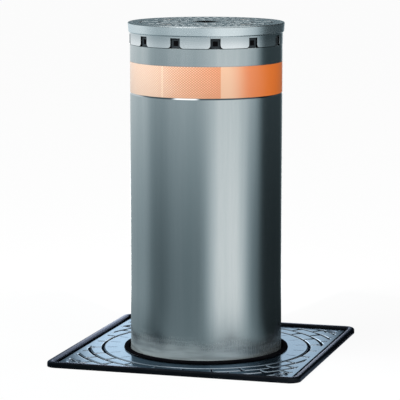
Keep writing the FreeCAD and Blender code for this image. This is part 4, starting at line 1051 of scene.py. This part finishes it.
def wall_tone(bearing, height):
    """Tone of the wall at a bearing in degrees to the camera's right and a height in metres."""
    rise = smooth_step(WALL_RISE[0], WALL_RISE[1], height)
    tone = WALL_TONES[0] + (WALL_TONES[1] - WALL_TONES[0]) * rise
    for middle, half, soft, low, high in CARDS:
        off = abs((bearing - middle + 180) % 360 - 180)
        share = 1 - smooth_step(half - soft / 2, half + soft / 2, off)
        tone += (low + (high - low) * rise - tone) * share
    screen = SCREEN[1] if bearing < 0 else SCREEN[2]
    screen += (SCREEN[3] - screen) * smooth_step(SCREEN_FADE[0], SCREEN_FADE[1], height)
    tone += (screen - tone) * smooth_step(SCREEN[0] - SCREEN_SOFT, SCREEN[0] + SCREEN_SOFT, abs(bearing))
    tone *= 1 - WALL_DIM[2] * smooth_step(WALL_DIM[0], WALL_DIM[1], height)
    middle, half, foot, top, bright = SOFT_BOX
    if foot < height < top:
        off = abs(bearing - middle)
        tone += (bright - tone) * (1 - smooth_step(half - SOFT_BOX_EDGE[0], half + SOFT_BOX_EDGE[1], off))
    return tone


def wall():
    """A round wall and the floor up to the frame, seen by light rays but not by the camera."""
    steps = 240
    outline = square_limit(FRAME_HALF + 1, FRAME_CORNER + 1)
    points = []
    colours = []
    for step in range(steps):
        bearing = 360 * step / steps - 180
        azimuth = CAMERA_AZIMUTH + math.radians(bearing)
        inner_r = outline(azimuth - math.pi / 2) * MM
        levels = [(inner_r, FLOOR_LIFT, 0.7, 0.7), (FLOOR_RING_R, FLOOR_LIFT, 0.8, 0.4)]
        levels += [(WALL_R - 0.02, FLOOR_LIFT, 1.0, 0.0)]
        levels += [(WALL_R, height, 1.0, 0.0) for height in WALL_LEVELS]
        front = 1 - smooth_step(FRONT_FLOOR[1] - FRONT_SOFT, FRONT_FLOOR[1], abs(bearing))
        for radius, height, share, calm in levels:
            points.append((radius * math.sin(azimuth), -radius * math.cos(azimuth), height))
            tone = wall_tone(bearing, height)
            tone += (FRONT_FLOOR[0] - tone) * front * calm
            tone *= share
            colours += [tone * (shade + (1 - shade) * min(1.0, tone)) for shade in WALL_SHADE] + [1.0]
    count = len(levels)
    faces = []
    for step in range(steps):
        here, there = step * count, (step + 1) % steps * count
        faces += [(here + n, there + n, there + n + 1, here + n + 1) for n in range(count - 1)]
    material, tree = new_material("studio_wall_look")[:2]
    tone = add_node(tree, "ShaderNodeAttribute", attribute_name="tone").outputs["Color"]
    glow = add_node(tree, "ShaderNodeEmission", {"Color": tone, "Strength": 1.0})
    tree.links.new(glow.outputs[0], tree.nodes["Material Output"].inputs["Surface"])
    piece = stage_piece("studio_wall", points, faces, material)
    layer = piece.data.attributes.new("tone", "FLOAT_COLOR", "POINT")
    layer.data.foreach_set("color", colours)
    piece.visible_camera = False
    piece.visible_shadow = False
    piece.visible_transmission = False


def lamp(name, place, size, power):
    """A square area light, aimed at the shaft and not seen by the camera or in mirrors."""
    data = bpy.data.lights.new(name, "AREA")
    data.shape = "SQUARE"
    data.size = size
    data.energy = power
    light = bpy.data.objects.new(name, data)
    light.location = place
    light.rotation_mode = "QUATERNION"
    light.rotation_quaternion = (Vector(LIGHT_AIM) - Vector(place)).to_track_quat("-Z", "Y")
    light.visible_camera = False
    light.visible_glossy = False
    bpy.context.scene.collection.objects.link(light)


def camera():
    data = bpy.data.cameras.new("photo_camera")
    data.lens = CAMERA_LENS
    data.sensor_width = 36
    data.clip_end = 200
    eye = bpy.data.objects.new("photo_camera", data)
    bpy.context.scene.collection.objects.link(eye)
    turn = Matrix.Rotation(CAMERA_AZIMUTH, 3, "Z")
    level = math.cos(CAMERA_PITCH)
    forward = Vector((math.sin(CAMERA_YAW) * level, math.cos(CAMERA_YAW) * level, -math.sin(CAMERA_PITCH)))
    eye.location = turn @ Vector((0, -CAMERA_DISTANCE, CAMERA_HEIGHT))
    eye.rotation_mode = "QUATERNION"
    eye.rotation_quaternion = (turn @ forward).to_track_quat("-Z", "Y")
    bpy.context.scene.camera = eye


studio_world()
floor()
wall()
lamp("key_light", (-1.9, -2.0, 2.6), 2.0, 130)
lamp("fill_light", (2.6, -1.0, 1.9), 2.4, 56)
camera()
bpy.context.scene.view_settings.view_transform = "Standard"
